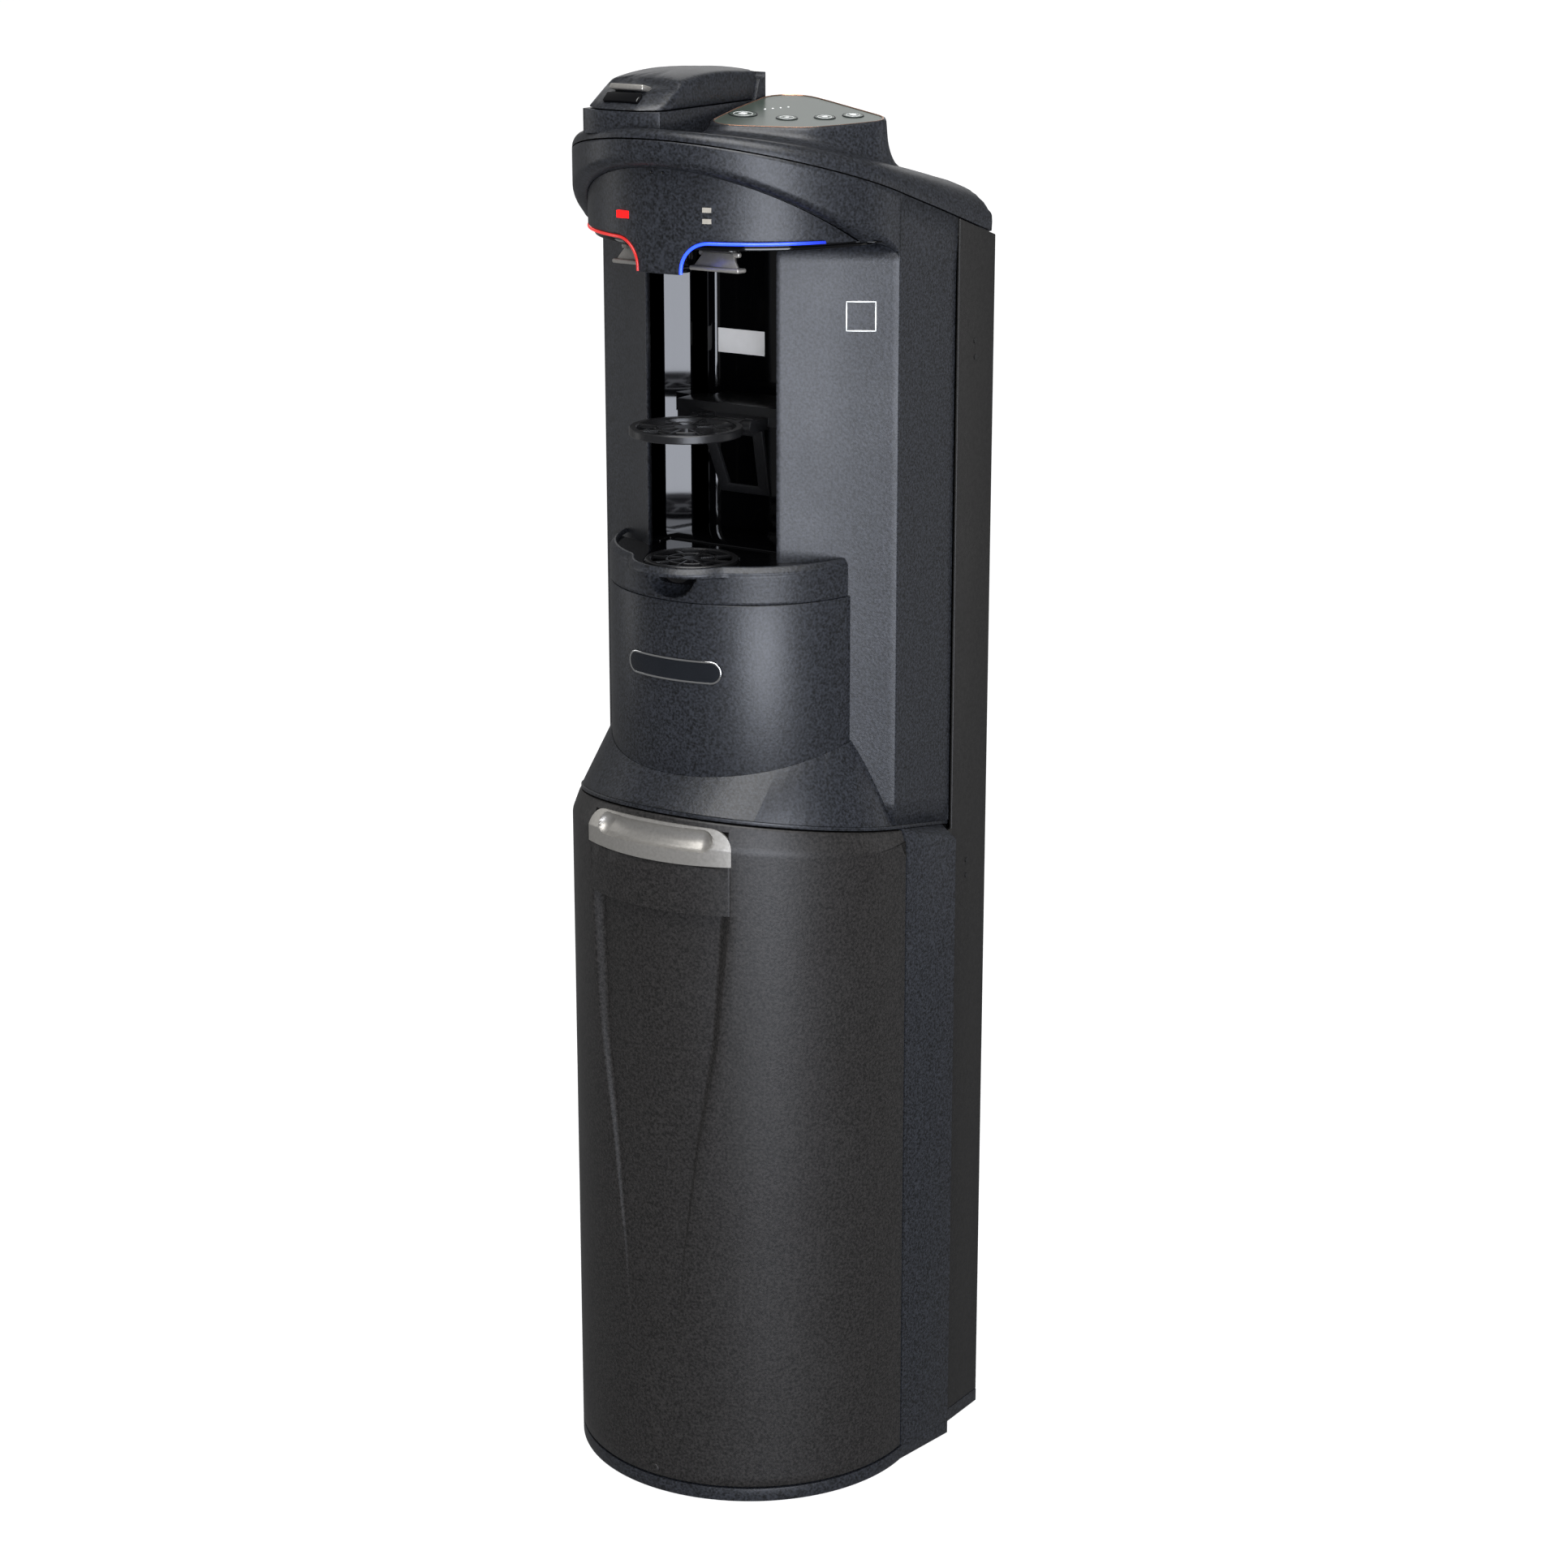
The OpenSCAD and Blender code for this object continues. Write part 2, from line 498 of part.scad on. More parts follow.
// The vee-shaped panel's outline in x and z, grown by d.
module vee(d = 0) polygon([
    [-71.5 - d, 546 + min(d, 0)], [71.5 + d, 546 + min(d, 0)], [61.5 + d, 425], [46 + d, 336],
    [32 + d, 230], [27 + d, 170 - d], [-27 - d, 170 - d], [-32 - d, 230], [-46 - d, 336],
    [-61.5 - d, 425]]);
module door_shell() color([0.14, 0.13, 0.13]) difference() {
    door_block();
    difference() {
        intersection() {
            translate([0, 0, door_z + 3]) cylinder(r = bow_r - 3.5, h = 560, $fn = 120);
            translate([0, 0, -5]) chamfer_cone(-3.5);
        }
        for (s = [-1, 1]) translate([s * 155.5 - 14.5, -8, 0]) cube([29, 40, 800]);
    }
    cylinder(r = 134.5, h = 40, $fn = 120);
    translate([0, 3, door_seam(3) - 5]) rotate([-seam_tilt, 0, 0])
      translate([0, 0, -60]) cylinder(r = 136, h = 56);
    through(-200, -100) vee(0.2);
    translate([-72.3, -200, 546]) cube([144.6, 100, 100]);
    difference() {
        translate([-170, hinge_y, 0]) cube([170 + hinge_x, 20, 700]);
        translate([hinge_x, hinge_y, -1]) cylinder(r = hinge_reach, h = 800);
    }
    translate([hinge_x, hinge_y, 0]) cylinder(r = pin_r + 0.06, h = 40);
    translate([hinge_x, hinge_y, 568]) cylinder(r = pin_r + 0.06, h = 40);
    translate([0, -140, 21]) rotate([90, 0, 0]) cylinder(r = 5, h = 40);
}
module door_insert() color([0.12, 0.12, 0.12]) {
    intersection() {
        translate([0, 0, 150]) rotate([-1.16, 0, 0]) difference() {
            cylinder(r = bow_r - 0.5, h = 420, $fn = 120);
            translate([0, 0, -1]) cylinder(r = bow_r - 4, h = 422, $fn = 120);
        }
        through(-200, -100) vee(-1);
    }
    intersection() {
        difference() {
            cylinder(r = bow_r - 0.2, h = 700, $fn = 120);
            translate([0, 0, -1]) cylinder(r = bow_r - 13.5, h = 702, $fn = 120);
        }
        through(-200, -100) difference() {
            vee();
            vee(-2.4);
        }
    }
}
module door_panel() color([0.14, 0.13, 0.13]) intersection() {
    difference() {
        cylinder(r = bow_r - 0.3, h = 700, $fn = 120);
        translate([0, 0, -1]) cylinder(r = bow_r - 4, h = 702, $fn = 120);
    }
    translate([-72, -200, 546.4]) cube([144, 100, 43.2]);
}
module door_handle() color([0.6, 0.6, 0.6]) difference() {
    intersection() {
        door_block(1.5);
        translate([-72, -200, 590]) cube([144, 100, 60]);
    }
    intersection() {
        cylinder(r = bow_r - 12, h = 700, $fn = 96);
        translate([0, 0, -12]) chamfer_cone(-12);
    }
    translate([-48, -154, 612]) rotate([0, 90, 0]) cylinder(r = 8, h = 96);
    for (s = [-1, 1]) translate([s * 48, -154, 612]) sphere(r = 8, $fn = 48);
}
module door_liner() color([0.16, 0.16, 0.17]) {
    difference() {
        translate([0, 0, 19]) cylinder(r = 137, h = 536, $fn = 96);
        cylinder(r = 135, h = 600, $fn = 96);
        translate([-200, 6, 0]) cube([400, 200, 700]);
    }
    for (s = [-1, 1]) translate([s * 138.5 - 2.3, -14, 19]) cube([4.6, 20, 536]);
}
module door_plug() color([0.05, 0.05, 0.05])
  translate([0, -148, 21]) rotate([90, 0, 0]) cylinder(r = 4.8, h = 8);
module drip_tray() color([0.14, 0.14, 0.15]) difference() {
    union() {
        intersection() {
            translate([0, 0, tray_z + gap]) cylinder(r = column_r, h = tray_top_z - tray_z - gap, $fn = 120);
            union() {
                front_space(0.6);
                translate([-tray_x, mouth_y - 2, 0]) cube([2 * tray_x, tray_back - mouth_y + 2, 900]);
            }
        }
        translate([0, lip_y, tray_top_z - 8]) cylinder(r = lip_r, h = 8, $fn = 96);
    }
    translate([0, grille_y, tray_top_z - 6]) cylinder(r = grille_r, h = 20, $fn = 96);
    translate([0, grille_y + 4, tray_top_z - 20]) cylinder(r = grille_r - 6, h = 30, $fn = 96);
    translate([0, -column_r - 1, tray_top_z - 14]) sphere(r = 20, $fn = 48);
    translate([-tray_x + 4, grille_y + 8, tray_z + 4]) cube([2 * tray_x - 8, 48, tray_top_z - tray_z - 10]);
}
module tray_grille() color([0.05, 0.05, 0.05]) translate([0, grille_y, tray_top_z - 5.7]) difference() {
    cylinder(r = grille_r - 0.4, h = 5, $fn = 96);
    for (i = [-2:2]) translate([-22 + abs(i) * 3, i * 12 - 3, -1]) cube([44 - abs(i) * 6, 6, 10]);
}
module cup_stand() color([0.05, 0.05, 0.06]) difference() {
    union() {
        translate([0, stand_y, stand_z - 3.5]) cylinder(r = stand_r, h = 7, $fn = 96);
        translate([-22, stand_y + 40, stand_z - 3.5]) cube([44, 16, 5]);
        translate([-22.7, stand_pivot_y, stand_pivot_z]) rotate([0, 90, 0]) cylinder(r = 5, h = 45.4);
    }
    for (i = [0:7]) translate([0, stand_y, stand_z - 10]) rotate([0, 0, 45 * i + 22.5])
        translate([12, -5, 0]) cube([27, 10, 20]);
}
// One paddle: a plate on a round bar, with a thick lip along its lower edge.
module paddle() {
    translate([-18, paddle_y - 2, 1084]) cube([36, 2.5, 11]);
    translate([-26, paddle_y - 10, 1081.5]) cube([52, 10.5, 3.5]);
    translate([-20, paddle_y, paddle_z]) rotate([0, 90, 0]) cylinder(r = 2.5, h = 40);
}
module hot_paddle() color([0.6, 0.6, 0.6]) translate([-paddle_x, 0, 0]) paddle();
module cold_paddle() color([0.6, 0.6, 0.6]) translate([paddle_x, 0, 0]) paddle();
module hot_button() color([0.9, 0.1, 0.1]) translate([-43, -127.5, 1122]) cube([17, 9, 6]);
module brewer_lid() color([0.12, 0.12, 0.13]) difference() {
    union() {
        difference() {
            prism(brew_z + 1, brew_z + lid_h) brewer_plan();
            prism(brew_z, brew_z + lid_h - 4) brewer_plan(4);
            beyond([0, -135, brew_z + 2], [0, -1, 0.75]);
            behind_lid(0);
            beyond([brew_x + 30, 0, brew_z + lid_h], [0.7, 0, 1]);
            beyond([brew_x - 30, 0, brew_z + lid_h], [-0.7, 0, 1]);
        }
        translate([brew_x, brew_y, brew_z + 2]) cylinder(r = 25, h = lid_h - 4);
        lid_knuckle(5, 60);
    }
    translate([brew_x - 17, -140, brew_z + 10]) cube([34, 26, 10.3]);
    translate([brew_x - 2, brew_y - 2, brew_z]) cube([4, 4, 4]);
}
module latch_button() color([0.6, 0.6, 0.6]) translate([brew_x - 16.6, -124, brew_z + 13]) cube([33.2, 9, 5]);
module pod_holder() color([0.08, 0.08, 0.08]) translate([brew_x, brew_y, 1168]) difference() {
    union() {
        cylinder(r1 = 21, r2 = 24, h = 38);
        translate([0, 0, 36]) cylinder(r = 27, h = 3);
    }
    translate([0, 0, 3]) cylinder(r1 = 18.5, r2 = 22, h = 40);
    translate([0, 0, -1]) cylinder(r = 4, h = 6);
}

base_pan();
levelling_feet();
bottle_platform();
pillar_left();
pillar_right();
side_panel_left();
side_panel_right();
back_panel();
cabinet_divider();
upper_floor();
wing_left();
wing_right();
tray_column();
flared_skirt();
recess_liner();
recess_deck();
recess_ceiling();
hood_band();
nose_fascia();
red_light_pipe();
blue_light_pipe();
indicator_lenses();
water_spouts();
brew_outlet();
head_cap();
brewer_base();
pod_bezel();
control_panel();
stand_bracket();
stand_leg();
condenser_coil();
compressor();
cold_tank();
hot_tank();
water_pump();
suction_tube();
rear_sockets();
badge();
case_screws();
hinge_pins();
door_shell();
door_insert();
door_panel();
door_handle();
door_liner();
door_plug();
drip_tray();
tray_grille();
cup_stand();
hot_paddle();
cold_paddle();
hot_button();
brewer_lid();
latch_button();
pod_holder();
brew_button();
small_cup_button();
medium_cup_button();
large_cup_button();
power_rocker();
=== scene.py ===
# %% [markdown]
# # A floor-standing water cooler with a pod brewer on its head
# The cooler is a tall cabinet of black moulded plastic: a bowed door hides the water bottle, a
# round column carries the drip tray, and two wings frame a glossy recess with a folding cup stand.
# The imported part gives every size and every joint, so it is loaded first. What is added here is
# what an engineering model leaves out: soft edges, sculpted surfaces, grain, lights and gloss.

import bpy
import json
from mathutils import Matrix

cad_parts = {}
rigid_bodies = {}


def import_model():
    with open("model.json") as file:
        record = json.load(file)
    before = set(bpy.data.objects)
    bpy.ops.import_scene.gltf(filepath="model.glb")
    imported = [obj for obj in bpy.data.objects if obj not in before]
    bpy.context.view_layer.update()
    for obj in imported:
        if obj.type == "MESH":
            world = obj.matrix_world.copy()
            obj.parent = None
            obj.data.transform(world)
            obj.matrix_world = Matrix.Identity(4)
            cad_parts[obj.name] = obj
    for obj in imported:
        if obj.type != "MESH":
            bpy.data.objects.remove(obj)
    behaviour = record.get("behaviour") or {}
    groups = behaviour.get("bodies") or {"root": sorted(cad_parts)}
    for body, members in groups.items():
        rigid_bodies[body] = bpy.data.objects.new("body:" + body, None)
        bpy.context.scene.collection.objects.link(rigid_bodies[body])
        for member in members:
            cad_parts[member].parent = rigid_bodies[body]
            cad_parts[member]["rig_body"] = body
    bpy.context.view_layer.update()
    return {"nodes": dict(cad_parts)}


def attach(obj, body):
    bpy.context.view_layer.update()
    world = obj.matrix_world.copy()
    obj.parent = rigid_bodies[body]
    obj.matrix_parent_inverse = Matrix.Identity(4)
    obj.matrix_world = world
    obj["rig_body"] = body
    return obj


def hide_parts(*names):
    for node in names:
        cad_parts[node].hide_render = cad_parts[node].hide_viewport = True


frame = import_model()

# %% Modules and sizes
import json
from functools import lru_cache
from math import asin, atan2, cos, degrees, hypot, pi, radians, sin, sqrt

import bmesh
import bpy
from mathutils import Matrix, Vector

MM = 0.001
BOW_R = 155.0
NOSE_R = 137.0


def mm(x, y, z):
    """A point given in millimetres, as Blender's metres."""
    return Vector((x * MM, y * MM, z * MM))


def door_seam(y):
    """Height of the slanted seam over the door, in millimetres."""
    return 629 - 0.194 * (y + 145)


print("the seam over the door is at", door_seam(-145), "mm in front and", door_seam(80), "mm at the pillars")

# %% [markdown]
# ## Studio
# A black product is shown in a white sweep: the floor runs up into a wall without an edge,
# and five soft boxes draw long, calm highlights on the curved plastic. The camera looks from the
# right and from above, with a long lens so that the tall cabinet hardly converges. Floor and wall
# are one bent sheet, because a corner between them would show as a line. The sweep is kept out of
# glossy reflections: the plastic then mirrors the lamps and a dim sky, and its edges stay dark.

# %% Camera
camera_data = bpy.data.cameras.new("studio_camera")
camera_data.lens = 78.43
camera_data.sensor_width = 36
camera = bpy.data.objects.new("studio_camera", camera_data)
camera.location = (1.5971, -2.3967, 1.4571)
camera.rotation_euler = (radians(90 - 16.25), 0, radians(33.07))
bpy.context.scene.collection.objects.link(camera)
bpy.context.scene.camera = camera
print("the camera is", round((camera.location - Vector((0, 0, 0.62))).length, 2),
      "m from the cooler's middle")


# %% [markdown]
# ## Materials
# Paint and plastic colours are written down as sRGB hex values, the way a designer notes them, and
# one function turns them into the linear numbers that a shader needs. A second small function adds
# one node, sets its values and links its inputs; every material below is built with these two.

# %% Colour and node helpers
def linear(hex_colour):
    """An sRGB hex colour as linear red, green, blue and alpha."""
    parts = [int(hex_colour[i:i + 2], 16) / 255 for i in (1, 3, 5)]
    return [p / 12.92 if p <= 0.04045 else ((p + 0.055) / 1.055) ** 2.4 for p in parts] + [1.0]


def add(tree, kind, inputs=None, **settings):
    """One node of a kind, with its settings; an input is a value or another node's output."""
    node = tree.nodes.new(kind)
    for name, value in settings.items():
        setattr(node, name, value)
    for name, value in (inputs or {}).items():
        if isinstance(value, bpy.types.NodeSocket):
            tree.links.new(value, node.inputs[name])
        else:
            node.inputs[name].default_value = value
    return node


def new_material(name):
    """An empty material with its output node."""
    material = bpy.data.materials.new(name)
    material.use_nodes = True
    material.node_tree.nodes.clear()
    return material, material.node_tree, material.node_tree.nodes.new("ShaderNodeOutputMaterial")


print("a mid grey of #808080 is", round(linear("#808080")[0], 3), "in linear light")


# %% [markdown]
# Moulded ABS has a fine spark-eroded grain: the mould's steel is etched, and the plastic copies it.
# The eye sees two things: the highlight breaks up into a faint sparkle, and the black is never
# quite even. The real grain is 0.3 to 0.5 mm; it is drawn about 1 mm wide so that it still shows
# when the whole cooler is in view. A second, slow noise gives the faint unevenness of a big part.

# %% Moulded plastics
def moulded_plastic(name, dark, light, roughness, grain_mm, grain_depth, gloss_change, sparkle=0.5):
    """Grained or polished plastic: two close colours, a grain bump and a slow change of gloss."""
    material, tree, out = new_material(name)
    place = add(tree, "ShaderNodeTexCoord").outputs["Object"]
    grain = add(tree, "ShaderNodeTexNoise", {"Vector": place, "Scale": 1000 / grain_mm / 2, "Detail": 2.0})
    slow = add(tree, "ShaderNodeTexNoise", {"Vector": place, "Scale": 14.0, "Detail": 3.0})
    speck = add(tree, "ShaderNodeMapRange", {"Value": grain.outputs["Fac"], "From Min": 0.5 - 0.2 / sparkle,
                                             "From Max": 0.5 + 0.2 / sparkle})
    colour = add(tree, "ShaderNodeMix", {0: speck.outputs[0], 6: linear(dark), 7: linear(light)},
                 data_type="RGBA")
    gloss = add(tree, "ShaderNodeMapRange", {
        "Value": slow.outputs["Fac"], "From Min": 0.3, "From Max": 0.7,
        "To Min": roughness - gloss_change, "To Max": roughness + gloss_change})
    bump = add(tree, "ShaderNodeBump", {"Height": grain.outputs["Fac"], "Strength": grain_depth,
                                        "Distance": 0.0002})
    surface = add(tree, "ShaderNodeBsdfPrincipled", {
        "Base Color": colour.outputs[2], "Roughness": gloss.outputs[0], "Normal": bump.outputs[0],
        "IOR": 1.53, "Specular IOR Level": 0.34})
    tree.links.new(surface.outputs[0], out.inputs[0])
    return material


SATIN_ABS = moulded_plastic("satin_grained_ABS", "#08090b", "#24262b", 0.40, 1.1, 0.6, 0.03, 1.2)
DOOR_ABS = moulded_plastic("charcoal_grained_ABS", "#0e0d0c", "#242221", 0.44, 1.1, 0.6, 0.03, 1.2)
SIDE_SHEET = moulded_plastic("powder_coated_steel_sheet", "#11100f", "#1b1a19", 0.5, 1.6, 0.4, 0.03, 0.8)
GLOSS_ABS = moulded_plastic("polished_black_ABS", "#030304", "#050506", 0.07, 30.0, 0.001, 0.015)
INNER_ABS = moulded_plastic("grey_ABS_liner", "#4b4c50", "#55565a", 0.5, 1.4, 0.4, 0.03)
BLACK_ABS = moulded_plastic("black_ABS_internal_part", "#0d0d0e", "#161617", 0.33, 1.4, 0.35, 0.04)
RUBBER = moulded_plastic("black_rubber", "#0b0b0b", "#121212", 0.75, 1.5, 0.5, 0.05)
LENS = moulded_plastic("milky_acrylic_lens", "#807c74", "#8e897f", 0.28, 4.0, 0.1, 0.02)
LABEL = moulded_plastic("matt_white_vinyl_label", "#e4e1dc", "#efede9", 0.5, 6.0, 0.05, 0.02)
RED_KEY = moulded_plastic("red_ABS_key", "#9c0a0c", "#b01014", 0.3, 3.0, 0.1, 0.02)
print("moulded plastics:", sum(m.name.count("ABS") for m in bpy.data.materials), "kinds of ABS")


# %% [markdown]
# Satin silver is paint with fine aluminium flakes on plastic: not a mirror, but brighter where it
# faces the light. The flake is far finer than the eye can see, so a 1.3 mm noise stands for the shimmer.
# Stainless steel and black painted steel share the recipe with other numbers.

# %% Metals and metallic paint
def metal_finish(name, dark, light, roughness, metallic, grain_mm, stretch=(1, 1, 1)):
    """Metal or metallic paint, with a grain that may be drawn out along one axis."""
    material, tree, out = new_material(name)
    place = add(tree, "ShaderNodeTexCoord").outputs["Object"]
    drawn = add(tree, "ShaderNodeMapping", {"Vector": place, "Scale": stretch})
    grain = add(tree, "ShaderNodeTexNoise", {"Vector": drawn.outputs[0], "Scale": 1000 / grain_mm / 2,
                                             "Detail": 3.0})
    colour = add(tree, "ShaderNodeMix", {0: grain.outputs["Fac"], 6: linear(dark), 7: linear(light)},
                 data_type="RGBA")
    gloss = add(tree, "ShaderNodeMapRange", {"Value": grain.outputs["Fac"], "To Min": roughness - 0.06,
                                             "To Max": roughness + 0.06})
    bump = add(tree, "ShaderNodeBump", {"Height": grain.outputs["Fac"], "Strength": 0.15, "Distance": 0.0001})
    surface = add(tree, "ShaderNodeBsdfPrincipled", {
        "Base Color": colour.outputs[2], "Roughness": gloss.outputs[0], "Normal": bump.outputs[0],
        "Metallic": metallic})
    tree.links.new(surface.outputs[0], out.inputs[0])
    return material


SILVER = metal_finish("satin_silver_paint", "#8a8782", "#a5a29c", 0.36, 0.75, 1.3)
STEEL = metal_finish("drawn_stainless_steel", "#a8a8a8", "#c6c6c4", 0.28, 1.0, 1.0, (1, 1, 0.08))
BLACK_STEEL = metal_finish("black_painted_steel", "#0c0c0c", "#151515", 0.4, 0.0, 2.0)
COPPER_FOIL = metal_finish("copper_foil_trim", "#b98566", "#d8a88a", 0.25, 1.0, 2.0)
CHROME = metal_finish("bright_chrome", "#c8c8c8", "#dcdcdc", 0.12, 1.0, 6.0)
print("the metals are", ", ".join(m.name for m in (SILVER, STEEL, BLACK_STEEL, COPPER_FOIL, CHROME)))

# %% [markdown]
# The light guides are clear rods lit from one end. Their glow fades along the rod, so the emission
# follows the object's own X coordinate: full where the lamp sits, weaker where the rod ends.

# %% Light guides
def light_guide(name, body_colour, glow, strong_x, weak_x, strong, weak):
    """A lit acrylic rod; its glow falls from strong_x to weak_x, both in metres."""
    material, tree, out = new_material(name)
    place = add(tree, "ShaderNodeTexCoord").outputs["Object"]
    along = add(tree, "ShaderNodeSeparateXYZ", {"Vector": place}).outputs["X"]
    level = add(tree, "ShaderNodeMapRange", {"Value": along, "From Min": strong_x, "From Max": weak_x,
                                             "To Min": strong, "To Max": weak},
                interpolation_type="SMOOTHSTEP")
    surface = add(tree, "ShaderNodeBsdfPrincipled", {
        "Base Color": linear(body_colour), "Roughness": 0.2, "Emission Color": linear(glow),
        "Emission Strength": level.outputs[0]})
    tree.links.new(surface.outputs[0], out.inputs[0])
    return material


BLUE_GUIDE = light_guide("lit_blue_acrylic_guide", "#1a2c9c", "#2444ff", 0.095, 0.118, 3.0, 0.25)
RED_GUIDE = light_guide("lit_red_acrylic_guide", "#8c1414", "#ff4038", -0.10, -0.03, 0.7, 0.35)
RED_LAMP = light_guide("lit_red_lens", "#c01010", "#ff1010", 0.0, 1.0, 1.2, 1.2)
print("lit parts:", BLUE_GUIDE.name, RED_GUIDE.name, RED_LAMP.name)

# %% [markdown]
# The control panel is a printed overlay under a thin clear coat, dark grey-green and half gloss.
# The coat is kept weak, because a strong one mirrors the lamps so brightly that the print is lost.

# %% Gloss overlay
def gloss_overlay(name, dark, light):
    """A printed sheet under a clear coat."""
    material, tree, out = new_material(name)
    place = add(tree, "ShaderNodeTexCoord").outputs["Object"]
    cloud = add(tree, "ShaderNodeTexNoise", {"Vector": place, "Scale": 30.0, "Detail": 2.0})
    colour = add(tree, "ShaderNodeMix", {0: cloud.outputs["Fac"], 6: linear(dark), 7: linear(light)},
                 data_type="RGBA")
    surface = add(tree, "ShaderNodeBsdfPrincipled", {
        "Base Color": colour.outputs[2], "Roughness": 0.3, "Specular IOR Level": 0.12, "Coat Weight": 0.12,
        "Coat Roughness": 0.12})
    tree.links.new(surface.outputs[0], out.inputs[0])
    return material


PANEL_PRINT = gloss_overlay("grey_green_gloss_overlay", "#343b36", "#3b433d")
BADGE_DOME = gloss_overlay("smoked_resin_badge", "#101215", "#17191d")
WHITE_INK = moulded_plastic("white_printed_ink", "#d6d8d6", "#e4e6e4", 0.4, 3.0, 0.05, 0.02)
print(len(bpy.data.materials), "materials are ready")

# %% Sweep, lamps and sky
bpy.ops.object.select_all(action="DESELECT")
bpy.ops.mesh.primitive_grid_add(x_subdivisions=2, y_subdivisions=48, size=12, location=(0, 0, 0))
sweep = bpy.context.object
sweep.name = "studio_sweep"
for vertex in sweep.data.vertices:
    back = vertex.co.y - 3.0
    if back > 0:
        turn = min(back / 1.5, pi / 2)
        vertex.co.y = 3.0 + 1.5 * sin(turn)
        vertex.co.z = 1.5 * (1 - cos(turn)) + max(0, back - 1.5 * pi / 2)
bpy.ops.object.shade_smooth()
sweep_paper, tree, out = new_material("white_paper_sweep")
paper_place = add(tree, "ShaderNodeTexCoord").outputs["Object"]
paper_tooth = add(tree, "ShaderNodeTexNoise", {"Vector": paper_place, "Scale": 3.0, "Detail": 2.0})
paper_tone = add(tree, "ShaderNodeMix", {0: paper_tooth.outputs["Fac"], 6: linear("#a4a4a4"),
                                         7: linear("#aaaaaa")}, data_type="RGBA")
paper = add(tree, "ShaderNodeBsdfPrincipled", {"Base Color": paper_tone.outputs[2], "Roughness": 0.9,
                                               "Specular IOR Level": 0.0, "Emission Color": linear("#ffffff"),
                                               "Emission Strength": 0.84})
tree.links.new(paper.outputs[0], out.inputs[0])
sweep.data.materials.append(sweep_paper)
sweep.visible_glossy = False


def softbox(name, place, aim, size, power, tint="#ffffff"):
    """A rectangular soft box that looks from a place towards a point, both in metres."""
    lamp = bpy.data.lights.new(name, "AREA")
    lamp.shape, lamp.size, lamp.size_y, lamp.energy = "RECTANGLE", size[0], size[1], power
    lamp.color = linear(tint)[:3]
    box = bpy.data.objects.new(name, lamp)
    turned = (Vector(aim) - Vector(place)).to_track_quat("-Z", "Y").to_matrix().to_4x4()
    box.matrix_world = Matrix.Translation(place) @ turned
    bpy.context.scene.collection.objects.link(box)
    return box


softbox("front_softbox", (2.0, -2.0, 0.85), (0, 0, 0.7), (1.6, 1.8), 108, "#eef3ff")
softbox("left_softbox", (-2.6, -0.6, 1.2), (0, 0, 0.7), (0.5, 2.0), 6)
softbox("back_softbox", (-1.5, 2.4, 2.25), (0, 0, 1.15), (2.6, 1.3), 11)
softbox("top_softbox", (0.6, -0.9, 3.0), (0, 0, 0.9), (1.9, 1.9), 92)
softbox("right_softbox", (2.6, 2.3, 0.8), (0, 0, 0.65), (1.2, 2.0), 7)
sky = bpy.data.worlds.new("studio_sky")
bpy.context.scene.world = sky
sky.use_nodes = True
sky.node_tree.nodes["Background"].inputs[0].default_value = linear("#f2f3f5")
sky.node_tree.nodes["Background"].inputs[1].default_value = 0.24
bpy.context.scene.view_settings.view_transform = "Standard"
print("five soft boxes light the sweep")


# %% [markdown]
# ## Moulded parts with soft edges
# No moulded or folded part has a razor edge: the tool is rounded, and the round edge catches a thin
# line of light. For a part whose shape is right already, its engineering mesh is copied, its loose
# triangles are merged and flat areas cleaned, and a bevel by angle rounds just the sharp edges.

# %% Copy a part and round its edges
def select_only(piece):
    """Deselects everything, then selects one object and makes it the active one."""
    bpy.ops.object.select_all(action="DESELECT")
    piece.select_set(True)
    bpy.context.view_layer.objects.active = piece


def settle(piece, material, body, slot, *nodes):
    """Gives a piece its finish and the body it rides on, and hides the nodes that it stands for."""
    piece.data.materials.clear()
    piece.data.materials.append(material)
    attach(piece, body)
    if nodes:
        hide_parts(*nodes)
    return piece


def soft_edged(node, material, slot, edge=0.8, angle=32, segments=2):
    """A copy of a CAD node with merged triangles and rounded edges; edge is in millimetres."""
    source = frame["nodes"][node]
    piece = bpy.data.objects.new(node + "_moulding", source.data.copy())
    bpy.context.scene.collection.objects.link(piece)
    select_only(piece)
    bpy.ops.object.mode_set(mode="EDIT")
    bpy.ops.mesh.select_all(action="SELECT")
    bpy.ops.mesh.remove_doubles(threshold=0.00002)
    bpy.ops.mesh.dissolve_limited(angle_limit=radians(0.4))
    bpy.ops.object.mode_set(mode="OBJECT")
    if edge:
        bevel = piece.modifiers.new("rounded_edges", "BEVEL")
        bevel.width, bevel.segments, bevel.limit_method = edge * MM, segments, "ANGLE"
        bevel.angle_limit, bevel.miter_outer, bevel.harden_normals = radians(angle), "MITER_ARC", False
        bpy.ops.object.modifier_apply(modifier=bevel.name)
    bpy.ops.object.shade_smooth_by_angle(angle=radians(34))
    return settle(piece, material, source["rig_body"], slot, node)


print("sharp edges are rounded by 0.8 mm unless a part asks for another size")

